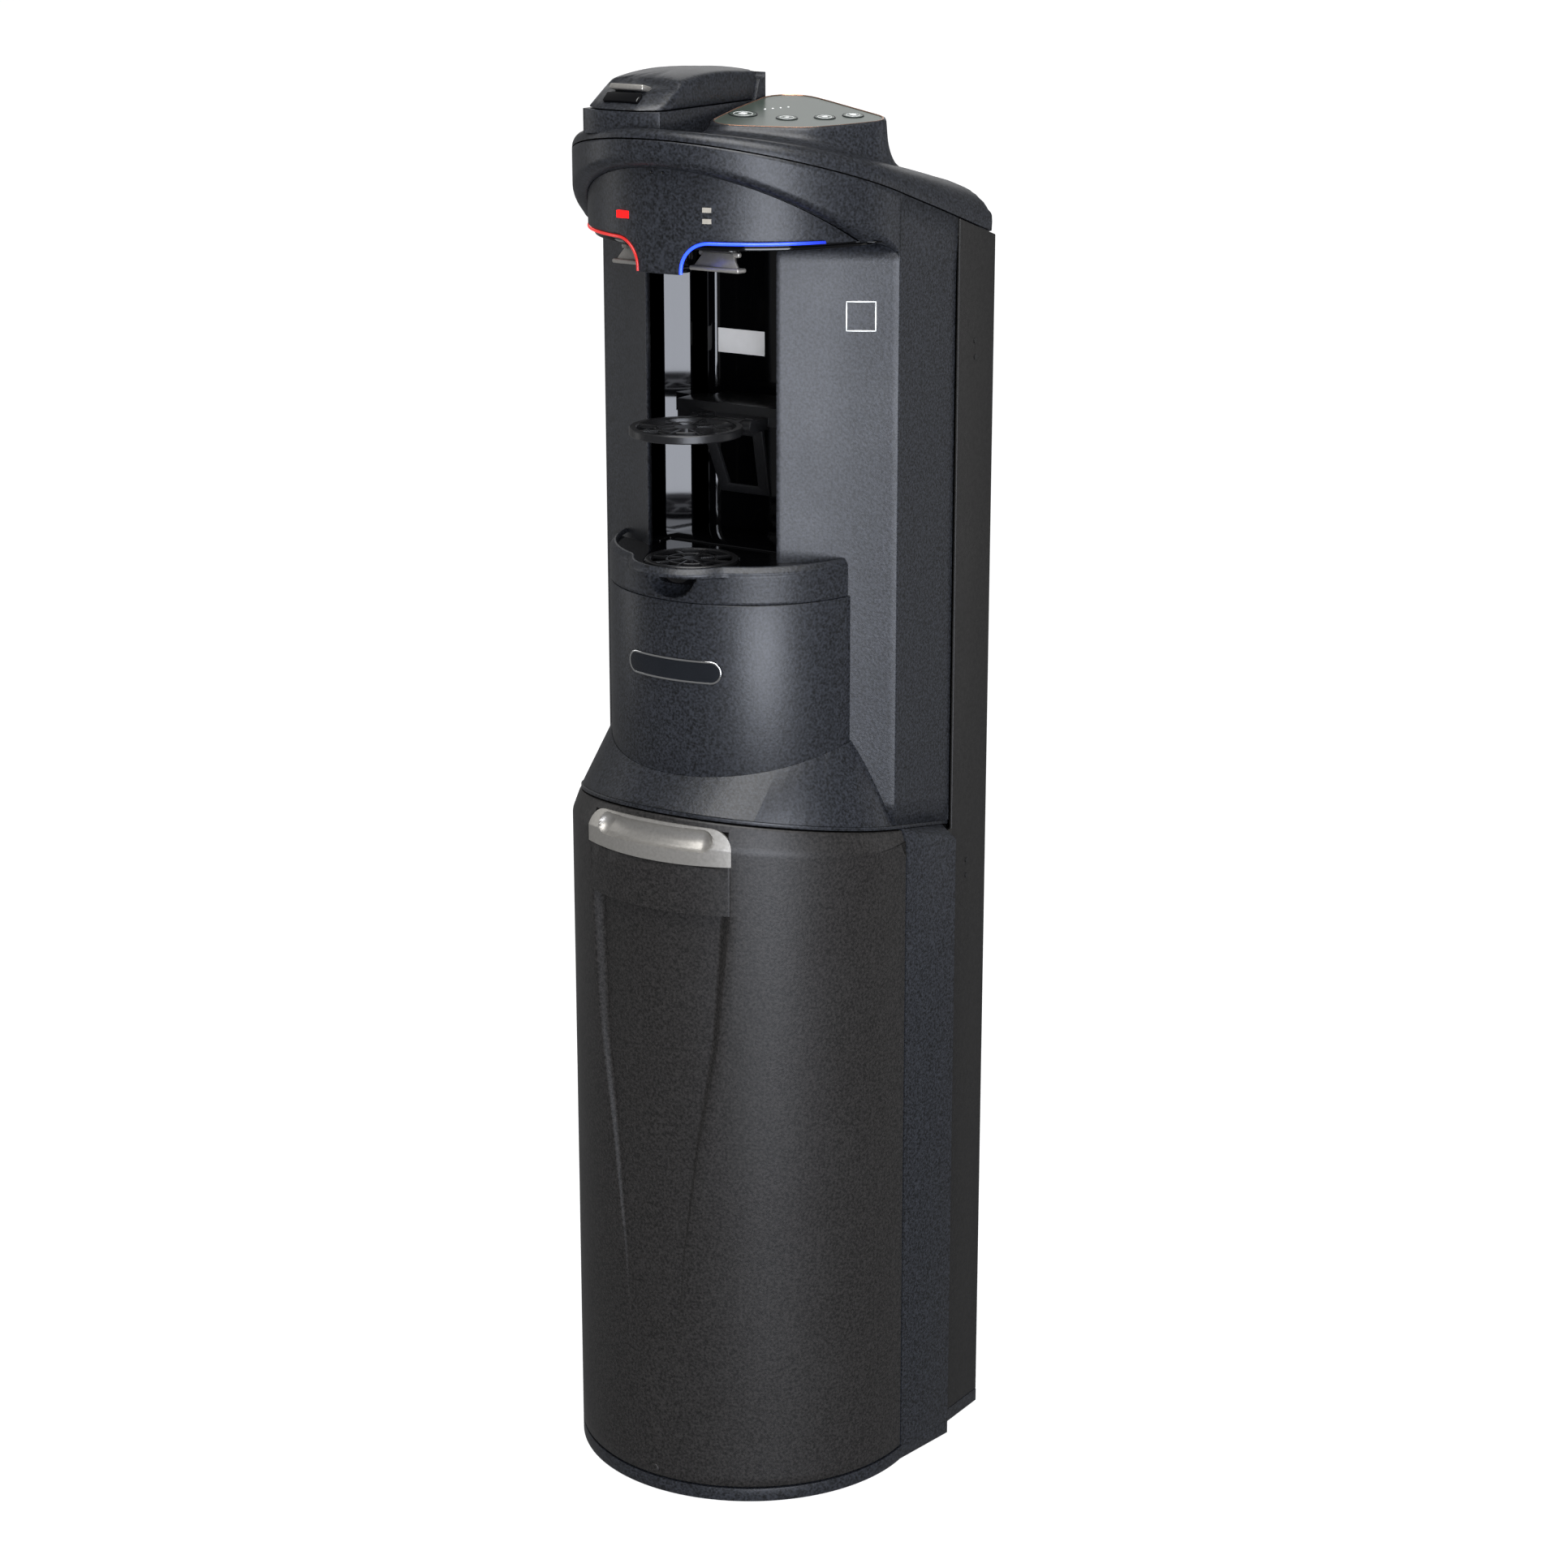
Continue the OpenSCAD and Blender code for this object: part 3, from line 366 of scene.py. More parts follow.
# %% Cabinet, frame and fittings
SOFT_EDGED = [
    (SATIN_ABS, "black_satin", 1.0, "base_pan pillar_left pillar_right"),
    (SATIN_ABS, "black_satin", 0.8, "tray_column flared_skirt brewer_base upper_floor"),
    (SIDE_SHEET, "side_black", 0.8, "side_panel_left side_panel_right back_panel"),
    (GLOSS_ABS, "gloss_black", 0.8, "recess_deck recess_ceiling brew_outlet"),
    (BLACK_ABS, "gloss_black", 0.6, "stand_bracket stand_leg rear_sockets"),
    (DOOR_ABS, "door_black", 0.6, "door_plug"),
    (SATIN_ABS, "black_satin", 0.6, "pod_holder"),
    (INNER_ABS, "grey_inside", 0.6, "door_liner bottle_platform cabinet_divider"),
    (RED_KEY, "red_glow", 0.5, "power_rocker"),
    (RUBBER, "rubber", 0.6, "levelling_feet"),
]
for material, slot, edge, names in SOFT_EDGED:
    for name in names.split():
        piece = soft_edged(name, material, slot, edge)
        print(name, len(piece.data.polygons), "faces")

# %% [markdown]
# ## The bowed door
# The door's outer skin is one moulding: a bow of 155 mm radius with a long vee pressed into it. The
# vee starts 8 mm deep under the flat panel and runs out to nothing near the floor, and its walls are
# soft slopes. The top is cut off at a slant and chamfered. Carving this with primitives would leave
# creases, so a flat grid is wrapped: every vertex is laid on the bow by a formula, with grid columns
# packed along the edge of the vee, where the shape changes fast.

# %% Wrap a grid
def wrapped_sheet(name, columns, rows, place, smooth_angle=34):
    """A grid whose vertices are laid by place(column, row), in millimetres; it faces -Y when
    columns run to the right and rows run up."""
    bpy.ops.object.select_all(action="DESELECT")
    bpy.ops.mesh.primitive_grid_add(x_subdivisions=columns - 1, y_subdivisions=rows - 1, size=1)
    piece = bpy.context.object
    piece.name = name
    for vertex in piece.data.vertices:
        i = round((vertex.co.x + 0.5) * (columns - 1))
        j = round((vertex.co.y + 0.5) * (rows - 1))
        vertex.co = mm(*place(i, j))
    bpy.ops.object.mode_set(mode="EDIT")
    bpy.ops.mesh.select_all(action="SELECT")
    bpy.ops.mesh.remove_doubles(threshold=0.00002)
    bpy.ops.object.mode_set(mode="OBJECT")
    bpy.ops.object.shade_smooth_by_angle(angle=radians(smooth_angle))
    return piece


def thicken(piece, wall):
    """Gives an open sheet a wall, inwards, in millimetres."""
    select_only(piece)
    shell = piece.modifiers.new("wall", "SOLIDIFY")
    shell.thickness, shell.offset = wall * MM, -1
    bpy.ops.object.modifier_apply(modifier=shell.name)
    return piece


def face_outward():
    """Turn the faces of the mesh that was just made outward."""
    bpy.ops.object.mode_set(mode="EDIT")
    bpy.ops.mesh.select_all(action="SELECT")
    bpy.ops.mesh.normals_make_consistent(inside=False)
    bpy.ops.object.mode_set(mode="OBJECT")


def spread(start, end, count):
    """Evenly spaced numbers from start to end."""
    return [start + (end - start) * k / (count - 1) for k in range(count)]


def between(x, table):
    """Straight-line reading of a small table of (x, y) pairs."""
    for (x0, y0), (x1, y1) in zip(table, table[1:]):
        if x <= x1:
            return y0 + (y1 - y0) * max(0.0, (x - x0) / (x1 - x0))
    return table[-1][1]


print("four even places from 0 to 90:", spread(0, 90, 4))

# %% Places on the door
DOOR_END = 94.03
VEE = [(15, 25.0), (150, 26.0), (170, 27.0), (230, 32.0), (336, 46.0), (425, 61.5), (546, 71.5), (700, 71.5)]


def vee_depth(z):
    """Depth of the vee's floor below the bow at a height."""
    return max(0.0, z - 150) * 0.02025 if z < 546.2 else 0.0


def chamfer_foot(angle, radius=BOW_R):
    """Where the bow meets the chamfer, at an angle from the front."""
    y = -radius * cos(angle)
    return Vector((radius * sin(angle), y, 607 - 0.14 * (y + 155)))


def chamfer_head(angle, proud=0.0):
    """The door's upper edge, at an angle from the front."""
    turn = angle * 93.02 / DOOR_END
    y = 3 - (150 + proud) * cos(turn)
    return Vector(((150 + proud) * sin(turn), y, door_seam(y) - 1.5))


def door_place(angle, z, depth=0.0, climb=None):
    """A point of the door's skin: on the bow at a height, or on the chamfer at a share of its width."""
    if climb is None:
        return Vector(((BOW_R - depth) * sin(angle), -(BOW_R - depth) * cos(angle), z))
    foot, head = chamfer_foot(angle), chamfer_head(angle)
    point = foot.lerp(head, climb)
    return Vector((point.x - depth * sin(angle), point.y + depth * cos(angle), point.z))


print("the door is", round(chamfer_head(0.0).z), "mm tall in front")

# %% The door's skin
EDGE_WALL = [-0.10, 0.0, 0.12, 0.34, 0.60, 0.82, 0.96, 1.12]
EDGE_DROP = [0.0, 0.03, 0.14, 0.40, 0.72, 0.92, 0.99, 1.0]
LINE_PLACE = [-1.0, -0.6, -0.3, 0.0, 0.3, 0.6, 1.0, 2.0]
LINE_DROP = [0.0, 0.1, 0.45, 0.6, 0.45, 0.1, 0.0, 0.0]
BOW_ROWS = ([("in", 15.0), ("lip", 15.0), ("bow", 16.0), ("bow", 24.0), ("bow", 60.0), ("bow", 110.0)]
            + [("bow", z) for z in spread(146, 534, 36)]
            + [("bow", z) for z in (541.0, 544.0, 545.3, 545.9, 546.3, 546.9, 548.5, 560.0, 575.0, 588.0)])
CLIMB_ROWS = [("low", 9.0), ("low", 4.0), ("low", 1.4), ("climb", 0.0), ("climb", 0.07), ("climb", 0.2),
              ("climb", 0.45), ("climb", 0.7), ("climb", 0.9), ("climb", 0.985), ("top", 0.0), ("deep", 0.0)]
DOOR_ROWS = BOW_ROWS + CLIMB_ROWS


def door_columns(z):
    """Angle and depth of every column at a height."""
    half, depth = between(z, VEE), vee_depth(z)
    edge = asin(half / BOW_R)
    panel = 546.2 < z < 592
    if panel:
        steps = [(edge - s * MM / BOW_R / MM, 0.55 * d) for s, d in zip(LINE_PLACE, LINE_DROP)]
    else:
        width = max(1.2, 0.9 * depth + 1.0)
        steps = [(edge - s * width / BOW_R, d * depth) for s, d in zip(EDGE_WALL, EDGE_DROP)]
    outer = spread(radians(DOOR_END), steps[0][0], 24)[:-1]
    inner = spread(steps[-1][0], -steps[-1][0], 20)[1:-1]
    right = [(a, 0.0) for a in outer] + steps
    floor = [(a, 0.0 if panel else depth) for a in inner]
    left = [(-a, d) for a, d in reversed(right)]
    return list(reversed([*right, *floor, *left]))


def hides_under_handle(point):
    """True where the handle's cover lies over the skin, which then drops back behind it."""
    up = max(0.0, point.z - chamfer_foot(asin(min(1.0, abs(point.x) / BOW_R))).z)
    half = 70.5 - 17 + sqrt(max(0.0, 17 ** 2 - min(up * 1.08, 17) ** 2))
    return 591 < point.z and up < 13.5 and abs(point.x) < half - 2 and point.y < -100


@lru_cache(None)
def door_row(z):
    """The columns at a height, worked out once."""
    return door_columns(z)


def door_vertex(i, j):
    """One vertex of the door's skin; the first and last columns turn in behind the edge."""
    kind, value = DOOR_ROWS[j]
    level = value if kind in ("in", "lip", "bow") else 600.0
    columns = door_row(level)
    angle, depth = columns[min(max(i - 1, 0), len(columns) - 1)]
    if kind in ("in", "lip"):
        point = door_place(angle, 15.0, 17.5 if kind == "in" else 1.0)
    elif kind == "bow":
        point = door_place(angle, value, depth)
    elif kind == "low":
        foot = chamfer_foot(angle)
        point = door_place(angle, foot.z - value, 0.04 if value < 2 else 0.0)
    elif kind == "climb":
        point = door_place(angle, 0, 0.3 if value == 0 else 0.06 if value < 0.1 else 0.0, value)
        if value > 0.95:
            point.z -= 0.2
    else:
        head = chamfer_head(angle)
        point = head.copy() if kind == "top" else Vector((head.x, head.y, head.z))
        inset = 0.8 if kind == "top" else 16.0
        point -= inset * Vector((sin(angle), -cos(angle), 0))
        point.z = door_seam(point.y) - 1.5
    if hides_under_handle(point):
        point.x -= 11 * sin(angle)
        point.y += 11 * cos(angle)
    if i in (0, len(columns) + 1):
        point.x *= 141.0 / max(abs(point.x), 141.0)
    from_hinge = Vector((point.x + 146, point.y - 2, 0))
    if point.x < -146 and point.y > 2 and from_hinge.length > 10.8:
        from_hinge *= 10.8 / from_hinge.length
        point.x, point.y = from_hinge.x - 146, from_hinge.y + 2
    point.y = min(point.y, 10.9)
    return point


door_skin = wrapped_sheet("door_skin", len(door_columns(300)) + 2, len(DOOR_ROWS), door_vertex, 50)
settle(thicken(door_skin, 2.0), DOOR_ABS, "door", "door_black", "door_shell", "door_insert", "door_panel")
print("the vee is", round(vee_depth(546), 1), "mm deep under the panel;",
      len(door_skin.data.polygons), "faces")

# %% [markdown]
# ## The door handle
# A satin silver cover sits 1.5 mm proud over the chamfer, with rounded upper corners and a long
# finger groove. It is the same wrapped grid, on the door's own surface, pushed in along a capsule:
# the groove's depth follows a rounded profile from its centre line to its rim.

# %% Handle cover
HANDLE_HALF, HANDLE_CORNER, CHAMFER_WIDTH = 73.5, 17.0, 22.0
HANDLE_CLIMB = spread(0, 1, 16)
HANDLE_ROWS = [-1.0, *HANDLE_CLIMB, *[1 + 0.78 * (1 - (1 - s) ** 1.7) for s in spread(0, 1, 26)[1:]], 9.0]
HANDLE_COLUMNS = 112


def handle_vertex(i, j):
    """One vertex of the handle: below 1 it is on the upright part, above 1 on the chamfer."""
    rise = HANDLE_ROWS[j]
    level = min(max(rise, 0.0), 1.78)
    up = max(0.0, (level - 1) * CHAMFER_WIDTH)
    half = HANDLE_HALF - HANDLE_CORNER + sqrt(max(0.0, HANDLE_CORNER ** 2 - min(up, HANDLE_CORNER) ** 2))
    share = (min(max(i, 1), HANDLE_COLUMNS - 2) - 1) / (HANDLE_COLUMNS - 3)
    x = (2 * share - 1) * half
    angle = asin(x / (BOW_R + 1.5))
    foot = chamfer_foot(angle)
    if level <= 1:
        point = door_place(angle, 590 + (foot.z - 590) * level, -1.5)
    else:
        point = door_place(angle, 0, -1.5, level - 1)
    off_x, off_z = max(0.0, abs(x) - 49), point.z - 611.5 + 0.02 * abs(x) * 0.3
    away = hypot(off_x, off_z * 1.05) / 9.5
    push = 7.5 * (1 - away ** 2) ** 0.62 if away < 1 else 0.0
    if i in (0, HANDLE_COLUMNS - 1) or j in (0, len(HANDLE_ROWS) - 1):
        push = 3.2
    point.x -= push * sin(angle)
    point.y += push * cos(angle)
    return point


handle = wrapped_sheet("handle_cover", HANDLE_COLUMNS, len(HANDLE_ROWS), handle_vertex, 40)
settle(handle, SILVER, "door", "silver", "door_handle")
print("the handle is", round(2 * HANDLE_HALF), "mm wide")

# %% [markdown]
# ## The head cap
# The cap is a soft lid over the head: a low crown in front, a deep one at the back, with a shoulder
# that rolls over in one elliptical curve. It is a grid again: its columns run round the head and its
# rows climb the shoulder and then run in to a line along the middle, where they close.

# %% Head outline and cap surface
def ease(x):
    """A smooth step from 0 to 1."""
    x = min(1.0, max(0.0, x))
    return x * x * (3 - 2 * x)


def hood_radius(turn):
    """Radius of the head's bow about (0, 2); it widens to meet the wings' corners."""
    return 147.0 + 3.0 * ease((abs(turn) - radians(50)) / radians(40))


def cap_seam(y):
    """Height of the seam under the cap."""
    return 1188.5 - 0.32 * (y + 145)


def cap_plane(y):
    """Height of the cap's flat top."""
    return 1197 - 0.22 * (y + 140)


def head_outline():
    """Points round the head from the rear centre, over the left side and the bow, and back."""
    half = [(0.0, 153.2), (60.0, 153.2), (110.0, 153.2)]
    half += [(142.6 + 10 * sin(t), 143.2 + 10 * cos(t)) for t in spread(0, pi / 2, 7)]
    half += [(152.6 - 0.1 * k, 143.2 - 16.6 * k) for k in range(1, 5)]
    half += [(152.2 - 2.2 * ease(s), 76.8 - 74.8 * s) for s in spread(0.1, 1, 7)]
    half += [(hood_radius(t) * sin(t), 2 - hood_radius(t) * cos(t)) for t in spread(pi / 2 - 0.07, 0, 26)]
    left = [(-x, y) for x, y in half]
    return left + list(reversed(half))[1:]


OUTLINE = head_outline()


def shoulder(x, y):
    """Height of the cap over a point, from how far it is inside the head's outline."""
    if y < 2:
        side = hood_radius(atan2(abs(x), 2 - y)) - hypot(x, y - 2)
    else:
        side = 150 + 2.2 * ease((y - 2) / 75) - abs(x)
    inset = max(0.0, min(side, 153.2 - y))
    low, high = cap_seam(y) + 0.6, cap_plane(y)
    reach = max(6.0, 0.95 * (high - low))
    share = min(1.0, inset / reach)
    return low + (high - low) * sqrt(1 - (1 - share) ** 2)


CAP_INSETS = [-1.0, 0.0, 0.25, 0.8, 1.8, 3.2, 5.0, 7.5, 10.5, 14.0, 18.0, 23.0, 29.0, 38.0, 52.0,
              65.0, 76.0, 87.0, 98.0, 109.0, 120.0, 131.0, 142.0, 153.0, 160.0]


def cap_vertex(i, j):
    """One vertex of the cap: column i round the head, row j inwards."""
    x, y = OUTLINE[i]
    middle = Vector((0, min(max(y, -20.0), 75.0)))
    inwards = middle - Vector((x, y))
    inset = CAP_INSETS[j]
    point = Vector((x, y)) + inwards.normalized() * min(max(inset, 0.0), inwards.length)
    if inset < 0:
        return (point.x * 0.985, point.y * 0.985, cap_seam(point.y) + 0.6)
    return (point.x, point.y, shoulder(point.x, point.y))


cap = wrapped_sheet("head_cap_shell", len(OUTLINE), len(CAP_INSETS), cap_vertex, 50)
cut = bmesh.new()
cut.from_mesh(cap.data)
bmesh.ops.remove_doubles(cut, verts=cut.verts, dist=0.00002)
bmesh.ops.dissolve_degenerate(cut, edges=cut.edges, dist=0.00002)
middles = [(face, face.calc_center_median()) for face in cut.faces]
inside = [face for face, at in middles
          if hypot(at.x + 0.038, at.y + 0.047) < 0.079 and abs(at.x + 0.038) < 0.031 and at.y < 0.015]
bmesh.ops.delete(cut, geom=inside, context="FACES")
cut.to_mesh(cap.data)
cut.free()
settle(thicken(cap, 2.0), SATIN_ABS, "cooler", "black_satin", "head_cap")
print("the cap's crown is", round(cap_plane(-140) - cap_seam(-140)), "mm in front and",
      round(cap_plane(150) - cap_seam(150)), "mm at the back")

# %% [markdown]
# ## The control pod
# A rounded triangle stands up out of the cap and its sides sweep out into it like the foot of a
# glass. The outline is the hull of four circles, and the rings below the rim follow a curve that
# starts upright and ends flat. A copper line and a gloss overlay close the top.

# %% Pod outline and rings
POD_CIRCLES = [(38, -75, 17), (110, 2, 18), (30, 22, 26), (60.8, -24.2, 50)]


@lru_cache(None)
def pod_outline(grow, count=72):
    """The outline of the pod, grown outwards, as points spread by direction from its middle."""
    middle = (58.0, -22.0)
    points = []
    for k in range(count):
        turn = 2 * pi * k / count
        way = Vector((sin(turn), cos(turn)))
        reach = []
        for n in range(180):
            normal = Vector((cos(pi * n / 90), sin(pi * n / 90)))
            support = max((Vector((cx, cy)) - Vector(middle)).dot(normal) + r for cx, cy, r in POD_CIRCLES)
            facing = normal.dot(way)
            if facing > 0.05:
                reach.append((support + grow) / facing)
        points.append((middle[0] + way.x * min(reach), middle[1] + way.y * min(reach)))
    return points


def panel_z(x, y):
    """Height of the slanted control panel over a point."""
    return 1200 - 0.08 * (x - 17) + 0.08 * (y + 86)


POD_RIM = [(-0.4, -2.0), (-0.2, 0.1), (0.5, 0.5), (1.6, 0.3), (2.4, -0.5), (2.9, -1.8)]
POD_FALL = spread(0.08, 1.0, 14)


def pod_vertex(i, j):
    """One vertex of the pod's wall: the rim first, then the flaring side."""
    count = 72
    if j < len(POD_RIM):
        grow, rise = POD_RIM[j]
        x, y = pod_outline(grow)[i % count]
        return (x, y, panel_z(x, y) + rise)
    share = POD_FALL[j - len(POD_RIM)]
    grow = 3.0 + 4.0 * share + 15.0 * share ** 3.2
    x, y = pod_outline(grow)[i % count]
    rim_x, rim_y = pod_outline(POD_RIM[-1][0])[i % count]
    top = panel_z(rim_x, rim_y) - 1.8
    foot_x, foot_y = pod_outline(22.0)[i % count]
    foot = shoulder(foot_x, foot_y) - 1.0
    return (x, y, top + (foot - top) * (1 - (1 - share) ** 1.25))


pod = wrapped_sheet("pod_bezel_flare", 73, len(POD_RIM) + len(POD_FALL), pod_vertex, 60)
settle(pod, SATIN_ABS, "cooler", "black_satin", "pod_bezel")
print("the pod stands", round(panel_z(50, 0) - cap_plane(0)), "mm above the cap")

# %% [markdown]
# ## Hood and fascia
# Under the cap's seam the hood stands upright, then rolls in under itself to the fascia's slanted
# upper edge; on each side its lower edge ends in an arch that runs into the wing's corner. The fascia
# is a plate on a smaller bow with a nose between the two spouts. Both are wrapped grids, so that the
# roll is one smooth curve.

# %% Fascia edges
NOSE_ARC_X = 44.5


def fascia_y(x, radius=NOSE_R):
    """Depth of the fascia's bow at an x."""
    return 6 - sqrt(radius ** 2 - x ** 2)


def fascia_top(x):
    """Height of the fascia's slanted upper edge."""
    return 1165 - 0.625 * (fascia_y(x) + 131)


def fascia_bottom(x, lift=2.4):
    """Height of the fascia's lower edge, with the nose in the middle."""
    lift = lift if -126 < x < 118 else 0.0
    x, radius = abs(x), 22 + lift
    if x < NOSE_ARC_X - radius:
        return 1080.0
    if x < NOSE_ARC_X:
        return 1083 + sqrt(max(0.0, radius ** 2 - (NOSE_ARC_X - x) ** 2))
    return 1105 + lift


TIP_X = 130.5
FASCIA_HALF = [TIP_X, 130.0, 128.0, 126.2, 125.8, *spread(122, 118.4, 3), 117.6, *spread(113, 48, 16),
               44.5, 41, 38, 35, 32, 29, 26.5, 24.5, 22.8, 21.4, 20.6, 20.2, 20.05, 18.5, 14, 9, 4, 0]
FASCIA_X = [-x for x in FASCIA_HALF] + list(reversed(FASCIA_HALF))[1:]
FASCIA_RISE = [-2.0, -1.0, 0.0, 0.04, 0.12, *spread(0.2, 0.9, 12), 0.97, 1.0, 2.0]


def fascia_vertex(i, j):
    """One vertex of the fascia; the first and last rows turn in behind the plate."""
    x, rise = FASCIA_X[i], FASCIA_RISE[j]
    low, high = fascia_bottom(x), fascia_top(x) - 0.4
    low = min(low, high - 0.2)
    radius = NOSE_R - (3.0 if rise in (-2.0, 2.0) else 0.7 if rise == -1.0 else 0.15 if rise == 0.0 else 0.0)
    share = min(1.0, max(0.0, rise))
    z = low + (high - low) * share + (0.6 if rise == 0.0 else 0)
    return (x * radius / NOSE_R, fascia_y(x * radius / NOSE_R, radius), z)


fascia = wrapped_sheet("nose_fascia_plate", len(FASCIA_X), len(FASCIA_RISE), fascia_vertex, 40)
settle(fascia, SATIN_ABS, "cooler", "black_satin", "nose_fascia")
print("the nose hangs", round(fascia_bottom(60) - fascia_bottom(0)), "mm below the fascia's edge")

# %% Hood
HOOD_TURNS = spread(-pi / 2, pi / 2, 97)
TIP_TURN = radians(74.5)
HOOD_RISE = [*spread(0, 0.9, 8), 1.0]
ROLL = spread(0, 1, 12)[1:]


def hood_vertex(i, j):
    """One vertex of the hood: upright rows first, then the roll in to the fascia."""
    turn = HOOD_TURNS[i]
    radius = hood_radius(turn)
    x, y = radius * sin(turn), 2 - radius * cos(turn)
    top = cap_seam(y) - 0.6
    if abs(turn) <= TIP_TURN:
        in_x = TIP_X * sin(turn) / sin(TIP_TURN)
        inner = Vector((in_x, fascia_y(in_x, NOSE_R - 0.6), fascia_top(in_x) - 0.2))
        tall = min(11.0, 0.5 * (top - inner.z))
    else:
        share = (abs(turn) - TIP_TURN) / (pi / 2 - TIP_TURN)
        in_radius = 136.4 + (radius - 136.4) * share ** 1.3
        drop = 19 * (1 - sqrt(max(0.0, 1 - share ** 2)))
        inner = Vector((in_radius * sin(turn), 2 - in_radius * cos(turn), 1104.0 - drop))
        tall = 11.0 * (1 - share) + 0.5
    foot = inner.z + tall
    if j < len(HOOD_RISE):
        return (x, y, top + (foot - top) * HOOD_RISE[j])
    bend = ROLL[j - len(HOOD_RISE)] * pi / 2
    out = 1 - cos(pi / 2 - bend)
    return (inner.x + (x - inner.x) * cos(bend) if bend < pi / 2 else inner.x,
            inner.y + (y - inner.y) * cos(bend) if bend < pi / 2 else inner.y,
            foot - tall * sin(bend) if out < 2 else foot)


hood = wrapped_sheet("hood_roll", len(HOOD_TURNS), len(HOOD_RISE) + len(ROLL), hood_vertex, 50)
select_only(hood)
bpy.ops.object.mode_set(mode="EDIT")
bpy.ops.mesh.select_all(action="SELECT")
bpy.ops.mesh.flip_normals()
bpy.ops.object.mode_set(mode="OBJECT")
settle(thicken(hood, 1.6), SATIN_ABS, "cooler", "black_satin", "hood_band")
print("the hood has", len(hood.data.polygons), "faces")

# %% [markdown]
# ## Wings
# Each wing is one moulding that runs from the mouth of the recess, in a faintly hollow curve, to a
# tight corner and then straight back along the side up to the cap's seam. The hollow is what makes
# the light fade across it, so it is worth modelling even though it is only 2.5 mm deep.

# %% Wing sheets
WING_PLAN = ([(66.2, -49.0), (65.2, -54.0), (65.0, -55.2), (65.4, -56.0), (66.2, -55.9)]
             + [(66.2 + 82.4 * s - 1.35 * sin(pi * s), -55.9 + 54.6 * s + 2.0 * sin(pi * s))
                for s in spread(0.04, 1, 22)]
             + [(149.3, -0.7), (149.8, -0.1), (150.0, 0.8), (150.0, 2.0)]
             + [(150.0, y) for y in spread(8, 90.2, 12)] + [(149.8, 90.7), (147.4, 90.9)])
WING_RISE = spread(0, 1, 26)


def wing_vertex(i, j):
    """One vertex of the right wing, counted from the mouth backwards."""
    x, y = WING_PLAN[i]
    low = 632.5 - 0.194 * (y + 145)
    high = 1103.0 if y < 0 else cap_seam(y) - 0.7
    z = low + (high - low) * WING_RISE[j]
    if y > 2 and x > 149:
        x += 2.0 * ease((y - 2) / 75) * ease((z - 1060) / 60)
    return (x, y, z)


for side, name in ((1, "right"), (-1, "left")):
    wing = wrapped_sheet("wing_face_" + name, len(WING_PLAN), len(WING_RISE),
                         lambda i, j: (side * wing_vertex(i, j)[0], *wing_vertex(i, j)[1:]), 34)
    if side < 0:
        select_only(wing)
        bpy.ops.object.mode_set(mode="EDIT")
        bpy.ops.mesh.select_all(action="SELECT")
        bpy.ops.mesh.flip_normals()
        bpy.ops.object.mode_set(mode="OBJECT")
    settle(thicken(wing, 1.5), SATIN_ABS, "cooler", "black_satin", "wing_" + name)
print("each wing is", round(WING_PLAN[-2][1] - WING_PLAN[3][1]), "mm deep from mouth to seam")

# %% [markdown]
# ## The brewer's lid
# The lid is a deep shell with a rounded outline. Its top is a low dome that falls to the front, where
# a silver latch sits over a dark pocket for the finger, and its back is cut on the slant of the fixed
# hinge block. Rings climb the wall, round the edge and close on the dome.

# %% Lid outline and rings
LID_X, LID_Y = -38.0, -50.0


def lid_outline(inset, rear):
    """Half of the lid's plan as reach by direction: the bowed front, straight sides and rear cut."""
    points = []
    for k in range(96):
        turn = 2 * pi * k / 96
        way = Vector((sin(turn), cos(turn)))
        low, high = 0.0, 110.0
        for _ in range(22):
            reach = (low + high) / 2
            x, y = abs(way.x * reach), LID_Y + way.y * reach
            bow = hypot(x, y + 47) < 88 - inset
            corner = 15.0
            cx, cy = max(0.0, x - (38 - inset - corner)), max(0.0, -(y + 126 - inset - corner + 2))
            ok = bow and x < 38 - inset and y < rear and (cx == 0 or cy == 0 or hypot(cx, cy) < corner)
            low, high = (reach, high) if ok else (low, reach)
        points.append((LID_X + way.x * low, LID_Y + way.y * low))
    return points


def lid_dome(x, y):
    """Height of the lid's domed top."""
    return 1236.5 - 0.0014 * (y + 34) ** 2 - 0.0018 * (x - LID_X) ** 2


LID_WALL = [(2.2, 0.0), (0.4, 0.0), (0.0, 0.05), (0.5, 0.35), (1.1, 0.62), (1.8, 0.82), (2.6, 0.91),
            (3.8, 0.965), (5.6, 0.99), (8.0, 1.0), (14.0, 1.0), (22.0, 1.0), (30.0, 1.0)]
LID_RINGS = [lid_outline(inset, 11.6 - 0.5 * inset) for inset, _ in LID_WALL]


def lid_vertex(i, j):
    """One vertex of the lid: rings from the lower edge up over the dome, closed in the middle."""
    if j == len(LID_WALL):
        return (LID_X, LID_Y, lid_dome(LID_X, LID_Y))
    x, y = LID_RINGS[j][i % 96]
    rise = LID_WALL[j][1]
    z = 1209.2 + (lid_dome(x, y) - 1209.2) * rise
    if y < -85:
        y += 19.0 * rise * ease((-85 - y) / 35)
    if y > 0:
        y = min(y, 11.6 + 0.37 * (z - 1208) - 0.8)
        y += max(0.0, 0.37 * (z - 1209) - 0.3) * ease((y - 2) / 8)
    return (x, y, z)


